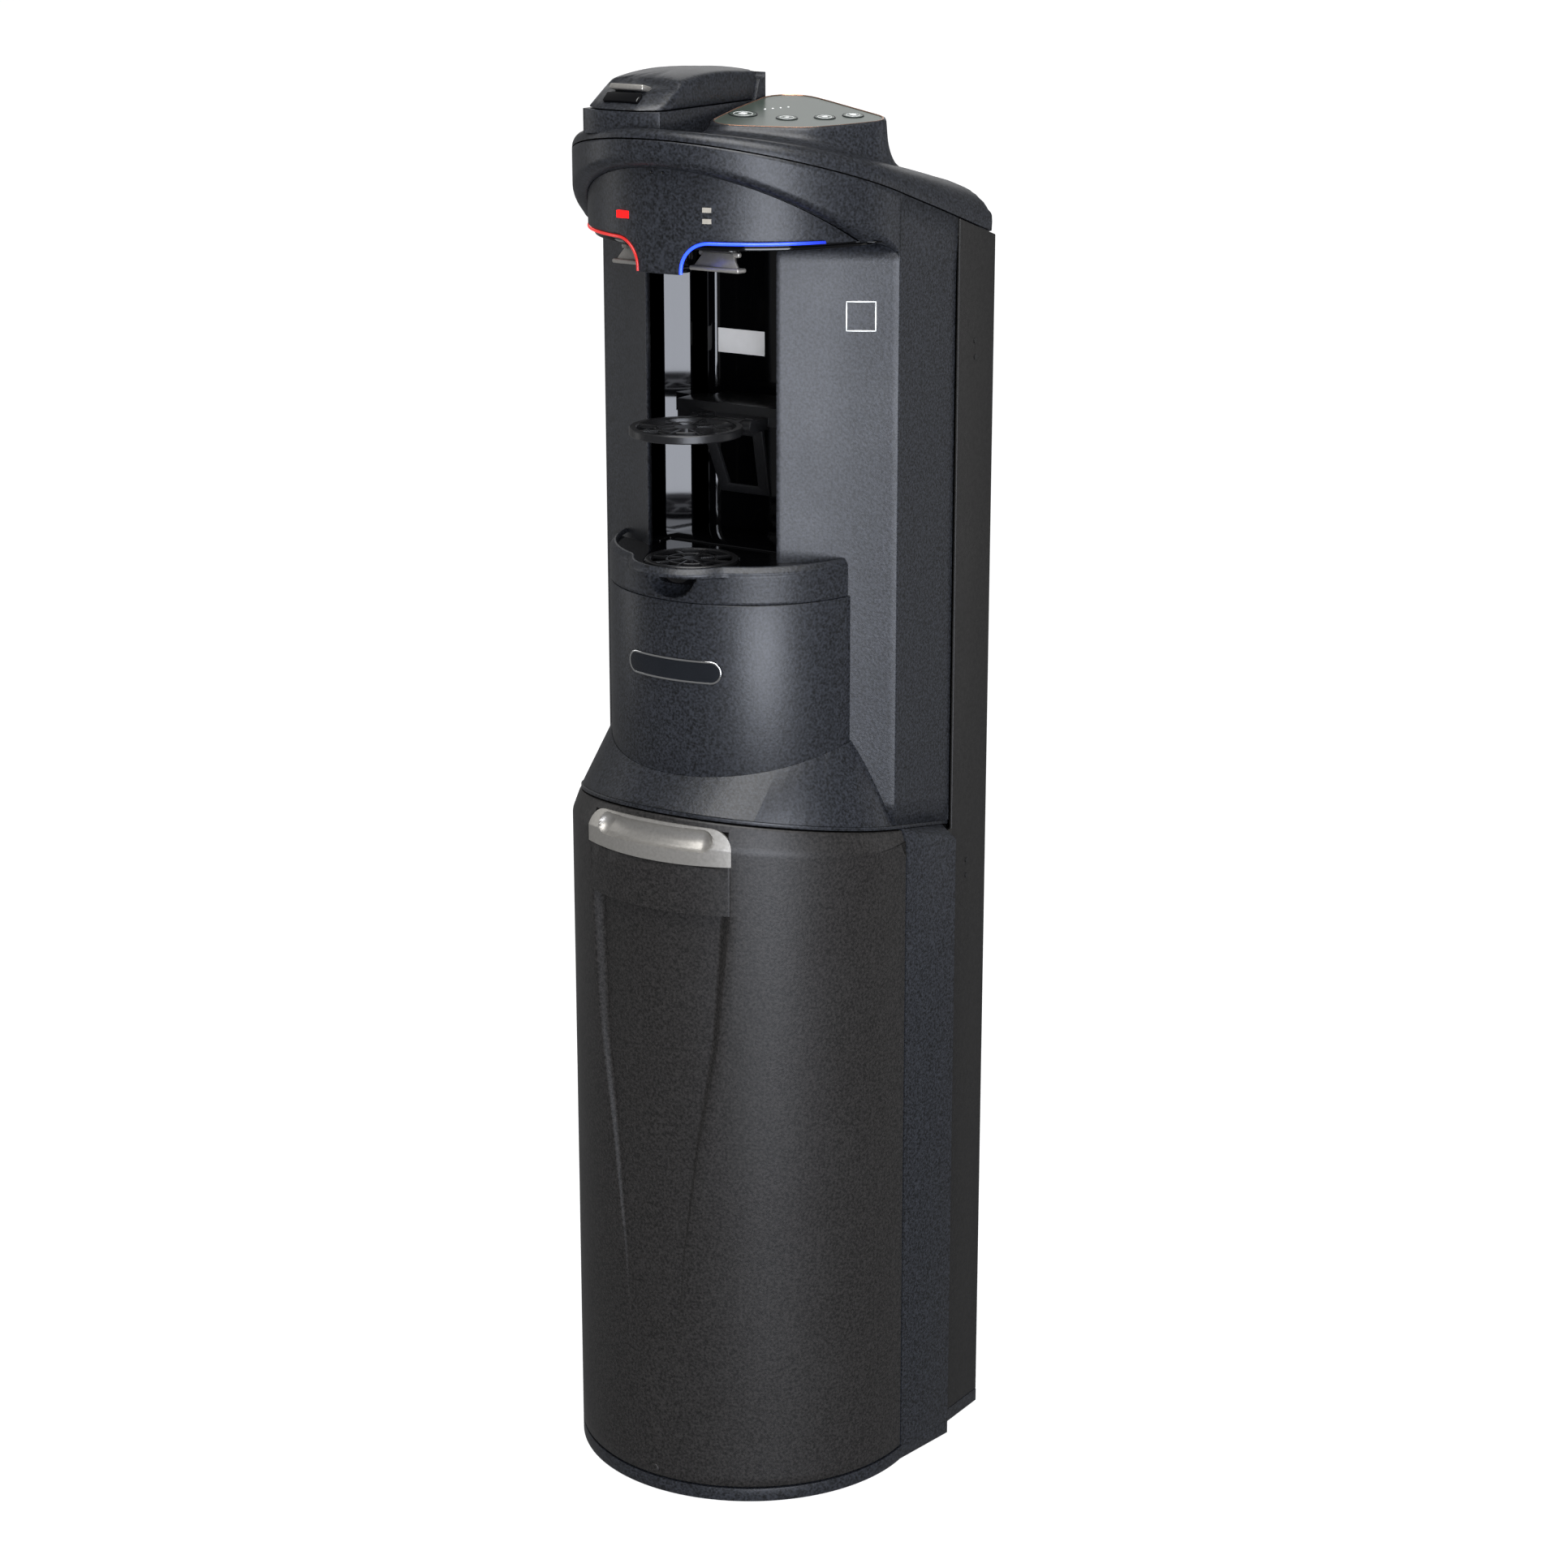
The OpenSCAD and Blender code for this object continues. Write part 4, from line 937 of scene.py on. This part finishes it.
lid = wrapped_sheet("brewer_lid_dome", 97, len(LID_WALL) + 1, lid_vertex, 45)
bpy.ops.mesh.primitive_cylinder_add(vertices=48, radius=0.0245, depth=0.018, location=mm(-38, -58, 1219))
puck = bpy.context.object
select_only(lid)
puck.select_set(True)
bpy.ops.object.join()
settle(lid, SATIN_ABS, "lid", "black_satin", "brewer_lid")
print("the lid's dome is", round(lid_dome(LID_X, -50)), "mm above the floor")


# %% [markdown]
# ## Small rounded blocks
# The finger pocket, labels and icons are slim blocks. A cube is added at its size and place, its
# edges are bevelled, and its place is applied to the mesh.

# %% Rounded block
def rounded_block(name, low, high, edge, segments=2, lean=0.0):
    """A block between two corners in millimetres with bevelled edges; lean turns it about X."""
    bpy.ops.object.select_all(action="DESELECT")
    centre = (mm(*low) + mm(*high)) / 2
    bpy.ops.mesh.primitive_cube_add(size=1, location=centre, rotation=(lean, 0, 0),
                                    scale=tuple((b - a) * MM for a, b in zip(low, high)))
    bpy.ops.object.transform_apply(location=True, rotation=True, scale=True)
    block = bpy.context.object
    block.name = name
    bpy.ops.object.mode_set(mode="EDIT")
    bpy.ops.mesh.select_all(action="SELECT")
    bpy.ops.mesh.bevel(offset=edge * MM, segments=segments, affect="EDGES")
    bpy.ops.object.mode_set(mode="OBJECT")
    bpy.ops.object.shade_smooth_by_angle(angle=radians(40))
    return block


pocket = rounded_block("latch_pocket", (-55.0, -125.7, 1212.6), (-21.0, -121.7, 1222.6), 1.2, 2, radians(-48))
settle(pocket, GLOSS_ABS, "lid", "gloss_black")
latch = rounded_block("latch_pad", (-54.6, -119.4, 1222.6), (-21.4, -106.4, 1227.2), 1.4, 3, radians(-14))
settle(latch, SILVER, "latch", "silver", "latch_button")
print("the latch pad is", round(latch.dimensions.x / MM, 1), "mm wide")

# %% Ring on the slanted panel
PANEL_TILT = Vector((0.08, -0.08, 1)).to_track_quat("Z", "Y").to_matrix().to_4x4()


def panel_ring(name, x, y, radius, line, lift, material, body):
    """A thin ring laid on the control panel, in millimetres."""
    bpy.ops.object.select_all(action="DESELECT")
    bpy.ops.mesh.primitive_torus_add(major_radius=radius * MM, minor_radius=line * MM, major_segments=48,
                                     minor_segments=6)
    ring = bpy.context.object
    ring.name = name
    ring.data.transform(Matrix.Translation(mm(x, y, panel_z(x, y) + lift)) @ PANEL_TILT)
    bpy.ops.object.shade_smooth()
    return settle(ring, material, body, "panel_green")


KEYS = [("brew", 28, -48, 11), ("small", 64, -38, 8), ("medium", 86.5, -16, 8), ("large", 100.5, 5, 8)]
BODIES = {"brew": "brew_key", "small": "small_key", "medium": "medium_key", "large": "large_key"}
for name, x, y, radius in KEYS:
    panel_ring(name + "_rim", x, y, radius + 0.7, 0.45, 0.2, BADGE_DOME, "cooler")
    panel_ring(name + "_print", x, y, radius * 0.72, 0.18, 0.65, WHITE_INK, BODIES[name])
print(len(KEYS), "keys have a rim and a printed ring")

# %% [markdown]
# Each key shows how much it brews with a small cup drawn in white ink: a tapered bowl and a ring for
# its handle, taller from key to key. A dot column beside the brew key stands for the status lights.

# %% Cup icons and status dots
def cup_icon(name, x, y, size, body):
    """A flat white cup: a tapered bowl with a ring handle, size is its height in millimetres."""
    bpy.ops.object.select_all(action="DESELECT")
    bpy.ops.mesh.primitive_grid_add(x_subdivisions=2, y_subdivisions=2, size=1)
    bowl = bpy.context.object
    bowl.name = name
    for vertex in bowl.data.vertices:
        taper = 0.62 if vertex.co.y < 0 else 0.9
        vertex.co = Vector((vertex.co.x * size * taper * MM, vertex.co.y * size * MM, 0))
    bpy.ops.object.mode_set(mode="EDIT")
    bpy.ops.mesh.select_all(action="SELECT")
    bpy.ops.mesh.extrude_region_move(TRANSFORM_OT_translate={"value": (0, 0, 0.00015)})
    bpy.ops.object.mode_set(mode="OBJECT")
    bpy.ops.mesh.primitive_torus_add(major_radius=size * 0.24 * MM, minor_radius=0.16 * MM, major_segments=20,
                                     minor_segments=5, location=(size * 0.5 * MM, size * 0.05 * MM, 0))
    bpy.ops.object.transform_apply(location=True, rotation=True, scale=True)
    bowl.select_set(True)
    bpy.context.view_layer.objects.active = bowl
    bpy.ops.object.join()
    turned = Matrix.Rotation(radians(33), 4, "Z")
    bowl.data.transform(Matrix.Translation(mm(x, y, panel_z(x, y) + 0.68)) @ PANEL_TILT @ turned)
    return settle(bowl, WHITE_INK, body, "panel_green")


for (name, x, y, _), size in zip(KEYS, (6.5, 3.2, 4.2, 5.2)):
    cup_icon(name + "_cup", x, y, size, BODIES[name])
for k in range(4):
    x, y = 31 + 3.4 * k, -20 + 6.5 * k
    dot = panel_ring("status_dot_%d" % k, x, y, 0.55, 0.45, 0.1, WHITE_INK, "cooler")
print("four keys carry a cup each")


# %% Copper line round the panel
def trim_vertex(i, j):
    """One vertex of a thin tube that follows the pod's outline."""
    bend = 2 * pi * (j % 8) / 8
    x, y = pod_outline(0.35 + 0.55 * cos(bend))[i % 72]
    return (x, y, panel_z(x, y) + 0.1 + 0.55 * sin(bend))


trim = wrapped_sheet("copper_trim_line", 73, 9, trim_vertex, 80)
settle(trim, COPPER_FOIL, "cooler", "panel_green")
print("the copper line has", len(trim.data.polygons), "faces")

# %% [markdown]
# The light guides are thin rods that follow the fascia's lower edge round the nose. Each is a tube
# wrapped round that path. A flat ring behind the fascia closes the gap to the recess's ceiling, and
# a dark screen stands inside the head, so that no light shows through the seams. Two small rings
# stand for the vent holes in the fascia.

# %% Light guides and soffit
GUIDE_BEND_R = 23.2
GUIDE_THICK = 1.25
SCREEN_R = 132.0


def guide_path(end):
    """Points of a light guide from the nose's foot to its far end, in x and z."""
    arc = [(NOSE_ARC_X - GUIDE_BEND_R * cos(t), 1083 + GUIDE_BEND_R * sin(t)) for t in spread(0, pi / 2, 14)]
    return [(NOSE_ARC_X - GUIDE_BEND_R, 1080.6)] + arc + [(x, 1106.2) for x in spread(50, end, 16)]


for name, end, side, material, slot, node in (
        ("blue_guide_rod", 118, 1, BLUE_GUIDE, "blue_glow", "blue_light_pipe"),
        ("red_guide_rod", 126, -1, RED_GUIDE, "red_glow", "red_light_pipe")):
    path = guide_path(end)

    def rod_vertex(i, j):
        """One vertex of the rod's skin; the last rows close its ends."""
        x, z = path[min(max(i - 1, 0), len(path) - 1)]
        bend = 2 * pi * (j % 10) / 10
        thick = 0.02 if i in (0, len(path) + 1) else GUIDE_THICK
        back = path[max(0, min(i - 2, len(path) - 2))]
        ahead = path[min(len(path) - 1, max(1, i))]
        along = Vector((ahead[0] - back[0], ahead[1] - back[1])).normalized()
        x, z = x - along.y * thick * cos(bend), z + along.x * thick * cos(bend)
        return (side * x, fascia_y(x) + 0.2 - thick * sin(bend), z)

    rod = wrapped_sheet(name, len(path) + 2, 11, rod_vertex, 80)
    face_outward()
    settle(rod, material, "cooler", slot, node)


def soffit_vertex(i, j):
    """One vertex of the flat ring between the ceiling and the hood."""
    turn = spread(-pi / 2 - 0.06, pi / 2 + 0.06, 61)[i]
    wide = ease((abs(turn) - radians(73)) / radians(5))
    outer = 133.6 + (hood_radius(turn) - 2.2 - 133.6) * wide
    radius = (120.0, outer)[j]
    return (radius * sin(turn), 5.0 - radius * cos(turn) - 2.5 * wide, 1103.6)


soffit = wrapped_sheet("hood_soffit", 61, 2, soffit_vertex)
settle(thicken(soffit, 1.2), GLOSS_ABS, "cooler", "gloss_black")


def backing_vertex(i, j):
    """One vertex of the dark screen that stands inside the head, behind its seams."""
    turn = spread(-1.5, 1.5, 49)[i]
    y = 2 - SCREEN_R * cos(turn)
    return (SCREEN_R * sin(turn), y, (1108.0, cap_seam(y) - 1)[j])


backing = wrapped_sheet("seam_screen", 49, 2, backing_vertex)
settle(thicken(backing, 1.0), GLOSS_ABS, "cooler", "gloss_black")
for x in (-5, 6):
    bpy.ops.object.select_all(action="DESELECT")
    bpy.ops.mesh.primitive_torus_add(major_radius=0.0007, minor_radius=0.0006, major_segments=16,
                                     minor_segments=8, rotation=(pi / 2, 0, 0),
                                     location=mm(x, fascia_y(x) - 0.1, 1161))
    bpy.ops.object.transform_apply(location=True, rotation=True, scale=True)
    bpy.context.object.name = "vent_dot_%d" % (1 if x < 0 else 2)
    settle(bpy.context.object, GLOSS_ABS, "cooler", "gloss_black")
print("the guides run", round(guide_path(118)[-1][0]), "and", round(guide_path(126)[-1][0]),
      "mm out from the middle")

# %% [markdown]
# ## Recess liner
# The recess is lined with polished black plastic. One upright facet in it stands at just the angle
# that throws the front light at the viewer, and shows as a pale column; all the rest mirrors darkness.
# The liner's plan is drawn once and pulled straight up.

# %% Liner
LINER_PLAN = ([(-66.4, -51.5), (-79.0, -46.0), (-80.0, -43.0), (-80.0, -10.0), (-79.6, -9.2)]
              + [(-79.6 + 17.6 * s, -9.2 + 13.2 * s) for s in spread(0.1, 1, 6)]
              + [(-61.6, 5.0), (-61.6, 30.0)]
              + [(-53.6 - 8 * cos(t), 32 + 8 * sin(t)) for t in spread(0.2, pi / 2, 6)]
              + [(x, 40.0) for x in spread(-40, 44, 8)]
              + [(52 + 28 * sin(t), 12 + 28 * cos(t)) for t in spread(0.05, pi / 2, 14)]
              + [(80.0, -10.0), (80.0, -43.0), (79.0, -46.0), (66.4, -51.5)])
liner = wrapped_sheet("recess_lining", len(LINER_PLAN), 2,
                      lambda i, j: (*LINER_PLAN[i], (806.4, 1099.6)[j]), 25)
bpy.ops.object.mode_set(mode="EDIT")
bpy.ops.mesh.select_all(action="SELECT")
bpy.ops.mesh.extrude_region_move(TRANSFORM_OT_translate={"value": (0, 0.0012, 0)})
bpy.ops.object.mode_set(mode="OBJECT")
bpy.ops.object.shade_smooth_by_angle(angle=radians(25))
settle(liner, GLOSS_ABS, "cooler", "gloss_black", "recess_liner")
label = rounded_block("blank_label", (-58, 39.2, 989), (-9, 39.8, 1010), 0.2)
settle(label, LABEL, "cooler", "gloss_black")
print("the lining is", round(LINER_PLAN[-3][0] * 2), "mm wide")

# %% [markdown]
# ## Drip tray
# The tray's wall follows the column, and a round lip stands out in front of it with a hollow for the
# finger underneath. The top edge is a bright chamfer; inside it a polished deck runs to the grille,
# and a bowl catches the drips. Wall and deck are two wrapped grids that meet at the inner rim.

# %% Tray wall with its lip and finger pocket
TRAY_R = 119.2
LIP_R = 52
LIP_CENTRE = 88
TRAY_RIM = 6.3
POCKET_R = 20.5
POCKET_Y = -121.5
POCKET_Z = 829.5
TRAY_TURNS = sorted(spread(-radians(78), radians(78), 61) + spread(-radians(27), radians(27), 38))


def tray_reach(turn):
    """How far the tray's top edge reaches from the axis; the lip bulges out in front."""
    off = LIP_CENTRE * sin(turn)
    lip = LIP_CENTRE * cos(turn) + sqrt(max(0.0, LIP_R ** 2 - off ** 2)) if abs(off) < LIP_R else 0.0
    blend = 5.0
    gap = lip - TRAY_R
    return TRAY_R + (gap if gap > blend else 0.0 if gap < -blend else (gap + blend) ** 2 / (4 * blend))


TRAY_WALL = [("in", 806.5, 3.0), ("wall", 806.5, 0.4), ("wall", 807.2, 0.0),
             *[("wall", z, 0.0) for z in spread(809, 828, 14)],
             ("under", 829.5, 0.0), ("under", 830.2, 0.6), ("edge", 831.0, 0.25), ("edge", 832.0, 0.0),
             ("edge", 833.2, 0.05), ("edge", 834.0, 0.6), ("edge", 837.4, 3.2), ("edge", 838.2, 4.2),
             ("edge", 838.3, 5.2), ("edge", 837.6, 6.0), ("edge", 834.6, 6.4)]


def tray_vertex(i, j):
    """One vertex of the tray's wall, from its foot up to the inner rim."""
    turn = TRAY_TURNS[i]
    kind, z, inset = TRAY_WALL[j]
    outer = tray_reach(turn)
    bulge = outer - TRAY_R
    if kind == "edge":
        reach = outer - inset
    elif kind == "under":
        reach = TRAY_R + bulge * (0.35 + inset)
    else:
        reach = TRAY_R - inset
    x, y = reach * sin(turn), -reach * cos(turn)
    if kind in ("wall", "under"):
        away = Vector((x * 0.82, y - POCKET_Y, z - POCKET_Z)).length
        deep = sqrt(max(0.0, POCKET_R ** 2 - Vector((x * 0.82, 0, z - POCKET_Z)).length ** 2))
        if away < POCKET_R:
            y = max(y, POCKET_Y + deep)
    return (x, y, z)


tray = wrapped_sheet("tray_wall", len(TRAY_TURNS), len(TRAY_WALL), tray_vertex, 45)
settle(tray, SATIN_ABS, "tray", "black_satin", "drip_tray")
print("the tray wall turns through", round(degrees(TRAY_TURNS[-1] - TRAY_TURNS[0])), "degrees")

# %% Tray deck and bowl
GRILLE_HOLE_R = 40
GRILLE_Y = -86


@lru_cache(None)
def deck_reach(turn):
    """Reach of the deck from the grille's middle in one direction, up to the rim or the wings."""
    low, high = 0.0, 160.0
    for _ in range(20):
        reach = (low + high) / 2
        x, y = reach * sin(turn), GRILLE_Y - reach * cos(turn)
        rim = hypot(x, y) < tray_reach(atan2(x, -y)) - TRAY_RIM if y < 0 else True
        wings = y < -57.3 + max(0.0, abs(x) - 64) * 0.659 or (abs(x) < 64 and y < -25.2)
        low, high = (reach, high) if rim and wings else (low, reach)
    return low


DECK_ROWS = [(1.0, 0.0, 834.6), (0.6, 0.0, 834.5), (0.25, 0.0, 834.5), (0.0, 0.3, 834.5),
             (0.0, -0.4, 834.0), (0.0, -0.5, 831.6), (0.0, -6.0, 831.4), (0.0, -7.0, 829.0),
             (0.0, -12.0, 820.0), (0.0, -22.0, 817.0), (0.0, -40.0, 816.5)]


def deck_vertex(i, j):
    """One vertex of the deck: from its outer edge in to the grille's hole and down the bowl."""
    turn = 2 * pi * (i % 120) / 120
    out, grow, z = DECK_ROWS[j]
    reach = GRILLE_HOLE_R + grow + out * max(0.0, deck_reach(turn) - GRILLE_HOLE_R)
    return (-reach * sin(turn), GRILLE_Y - reach * cos(turn), z)


deck = wrapped_sheet("tray_deck", 121, len(DECK_ROWS), deck_vertex, 40)
settle(deck, GLOSS_ABS, "tray", "gloss_black", "drip_tray")
print("the lip stands", round(tray_reach(0) - TRAY_R, 1), "mm out in front of the column")

# %% [markdown]
# ## Grille and cup stand
# Both are spoked discs: a rim with rounded edges, an inner ring, a hub and eight radial bars. The
# rings are turned: a small profile is carried round the centre. The bars are one rounded block, copied
# and turned by 45 degrees each time, and all is joined into one mesh.

# %% Turned rings and spokes
def turned_ring(name, centre, profile, count=72):
    """A closed profile of (radius, height) pairs carried round an upright axis."""
    def ring_vertex(i, j):
        turn = 2 * pi * (i % count) / count
        radius, z = profile[j % len(profile)]
        return (centre[0] + radius * sin(turn), centre[1] - radius * cos(turn), z)
    ring = wrapped_sheet(name, count + 1, len(profile) + 1, ring_vertex, 40)
    face_outward()
    return ring


def rim_profile(inner, outer, low, high, edge):
    """A rectangle with its corners cut, as (radius, height) pairs."""
    return [(inner, low + edge), (inner + edge, low), (outer - edge, low), (outer, low + edge),
            (outer, high - edge), (outer - edge, high), (inner + edge, high), (inner, high - edge)]


def spoked_disc(name, centre, radius, rim, low, high, bar, extras=()):
    """A rim, an inner ring, a hub and eight bars, joined with any extra pieces."""
    x, y = centre
    inner = rim_profile(radius * 0.5, radius * 0.5 + 2.2, high - 3.6, high - 0.8, 0.5)
    hub = rim_profile(0.1, radius * 0.2, high - 3.6, high - 0.5, 0.04)
    parts = [turned_ring(name, centre, rim_profile(radius - rim, radius, low, high, 0.9)),
             turned_ring(name + "_mid", centre, inner), turned_ring(name + "_hub", centre, hub)]
    for k in range(8):
        spoke = rounded_block(name + "_bar", (-bar / 2, -radius + rim * 0.6, high - 3.8),
                              (bar / 2, -radius * 0.17, high - 0.7), 0.5)
        spoke.data.transform(Matrix.Translation(mm(x, y, 0)) @ Matrix.Rotation(radians(45 * k + 12), 4, "Z"))
        parts.append(spoke)
    parts += extras
    bpy.ops.object.select_all(action="DESELECT")
    for part in parts:
        part.select_set(True)
    bpy.context.view_layer.objects.active = parts[0]
    bpy.ops.object.join()
    return parts[0]


grille = spoked_disc("tray_grille_spoked", (0, -86), 39.3, 5.0, 832.4, 837.2, 3.4)
settle(grille, BLACK_ABS, "grille", "gloss_black", "tray_grille")
arm = rounded_block("stand_arm", (-21.5, -50, 942.8), (21.5, -37.5, 948.4), 1.2)
bpy.ops.mesh.primitive_cylinder_add(vertices=32, radius=0.0049, depth=0.045, rotation=(0, pi / 2, 0),
                                    location=mm(0, -38, 944))
bpy.ops.object.transform_apply(location=True, rotation=True, scale=True)
stand = spoked_disc("cup_stand_spoked", (0, -93), 47.5, 6.5, 942.5, 949.5, 4.0, [arm, bpy.context.object])
settle(stand, BLACK_ABS, "stand", "gloss_black", "cup_stand")
print("grille and stand have eight bars each")


# %% [markdown]
# ## Paddles
# A glass pushed against a paddle opens its tap. Each is a silver plate that hangs from a bar, wider
# at its foot, with a thick rounded lip that is what the glass touches.

# %% Paddles
for side, node, body in ((-1, "hot_paddle", "hot_lever"), (1, "cold_paddle", "cold_lever")):
    x = side * 38.5
    plate = rounded_block(node + "_plate", (-22, -101, 1084.5), (22, -98.4, 1096.5), 0.8)
    for vertex in plate.data.vertices:
        up = (vertex.co.z / MM - 1084.5) / 12
        vertex.co.x *= 1 - 0.38 * up
        vertex.co.y += (3.0 * up - 3.5) * MM
    lip = rounded_block(node + "_lip", (-26, -108, 1081.5), (26, -98, 1085.3), 1.5, 3)
    for vertex in lip.data.vertices:
        if vertex.co.y < -0.105:
            vertex.co.x *= 0.93
    bar = rounded_block(node + "_bar", (-20, -100.4, 1093), (20, -95.6, 1097.4), 1.6, 3)
    select_only(plate)
    lip.select_set(True)
    bar.select_set(True)
    bpy.ops.object.join()
    plate.data.transform(Matrix.Translation(mm(x, 0, 0)))
    settle(plate, SILVER, body, "silver", node)
print("two paddles hang", round(1096.5 - 1081.5), "mm deep")

# %% [markdown]
# ## Badge rim and wing mark
# A dark badge on the column gets a bright rim, and the wing carries a plain square outline. Both are
# closed loops laid on the curved faces by the same small function; neither holds any lettering.

# %% Closed loops on curved faces
def laid_loop(name, points, lay, thick, material, slot):
    """A thin tube along a closed loop of (u, z) points that lay() puts on a face."""
    count = len(points)

    def loop_vertex(i, j):
        u, z = points[i % count]
        before, after = points[(i - 1) % count], points[(i + 1) % count]
        along = Vector((after[0] - before[0], after[1] - before[1])).normalized()
        bend = 2 * pi * (j % 6) / 6
        return lay(u - along.y * thick * cos(bend), z + along.x * thick * cos(bend), thick * 0.6 * sin(bend))
    loop = wrapped_sheet(name, count + 1, 7, loop_vertex, 80)
    face_outward()
    return settle(loop, material, "cooler", slot)


BADGE_FACE_R = 121.1


def on_column(u, z, proud):
    """A point on the badge's face, u millimetres round the column."""
    radius = BADGE_FACE_R + proud
    return (radius * sin(u / BADGE_FACE_R), -radius * cos(u / BADGE_FACE_R), z)


def on_wing(u, z, proud):
    """A point on the right wing's face, u millimetres along it."""
    s = u / 98.9
    return (66.2 + 82.4 * s - 1.35 * sin(pi * s) + (0.15 + proud) * 0.55,
            -55.9 + 54.6 * s + 2.0 * sin(pi * s) - (0.15 + proud) * 0.835, z)


BADGE_Z = 748
badge_loop = ([(38.6 + 9 * sin(t), BADGE_Z + 9 * cos(t)) for t in spread(0, pi, 14)]
              + [(x, BADGE_Z - 9) for x in spread(30, -30, 9)]
              + [(-38.6 - 9 * sin(t), BADGE_Z - 9 * cos(t)) for t in spread(0, pi, 14)]
              + [(x, BADGE_Z + 9) for x in spread(-30, 30, 9)])
laid_loop("badge_rim", badge_loop, on_column, 0.8, CHROME, "silver")
square = ([(u, 1029.0) for u in spread(57, 81, 7)] + [(81.0, z) for z in spread(1033, 1049, 5)]
          + [(u, 1053.0) for u in spread(81, 57, 7)] + [(57.0, z) for z in spread(1049, 1033, 5)])
laid_loop("wing_mark", square, on_wing, 0.55, WHITE_INK, "black_satin")
print("the badge is", BADGE_Z, "mm above the floor")

# %% [markdown]
# ## Parts that keep their shape
# Parts inside the cabinet and at the back are plain turned, bent or drawn metal, and their
# engineering shape is right as it is. They only need the finish of what they are made of.

# %% Finishes for the carried-over parts
KEPT = {
    "condenser_coil": BLACK_STEEL, "compressor": BLACK_STEEL, "cold_tank": STEEL, "hot_tank": STEEL,
    "water_pump": BLACK_ABS, "suction_tube": LENS, "case_screws": BLACK_STEEL, "hinge_pins": STEEL,
    "water_spouts": STEEL,
    "indicator_lenses": LENS, "hot_button": RED_LAMP, "badge": BADGE_DOME, "control_panel": PANEL_PRINT,
    "brew_button": PANEL_PRINT, "small_cup_button": PANEL_PRINT, "medium_cup_button": PANEL_PRINT,
    "large_cup_button": PANEL_PRINT,
}
for name, material in KEPT.items():
    node = frame["nodes"][name]
    if node.hide_render:
        continue
    node.data.materials.clear()
    node.data.materials.append(material)
shown = sorted(n for n, o in frame["nodes"].items() if not o.hide_render)
print("carried over as they are:", shown)
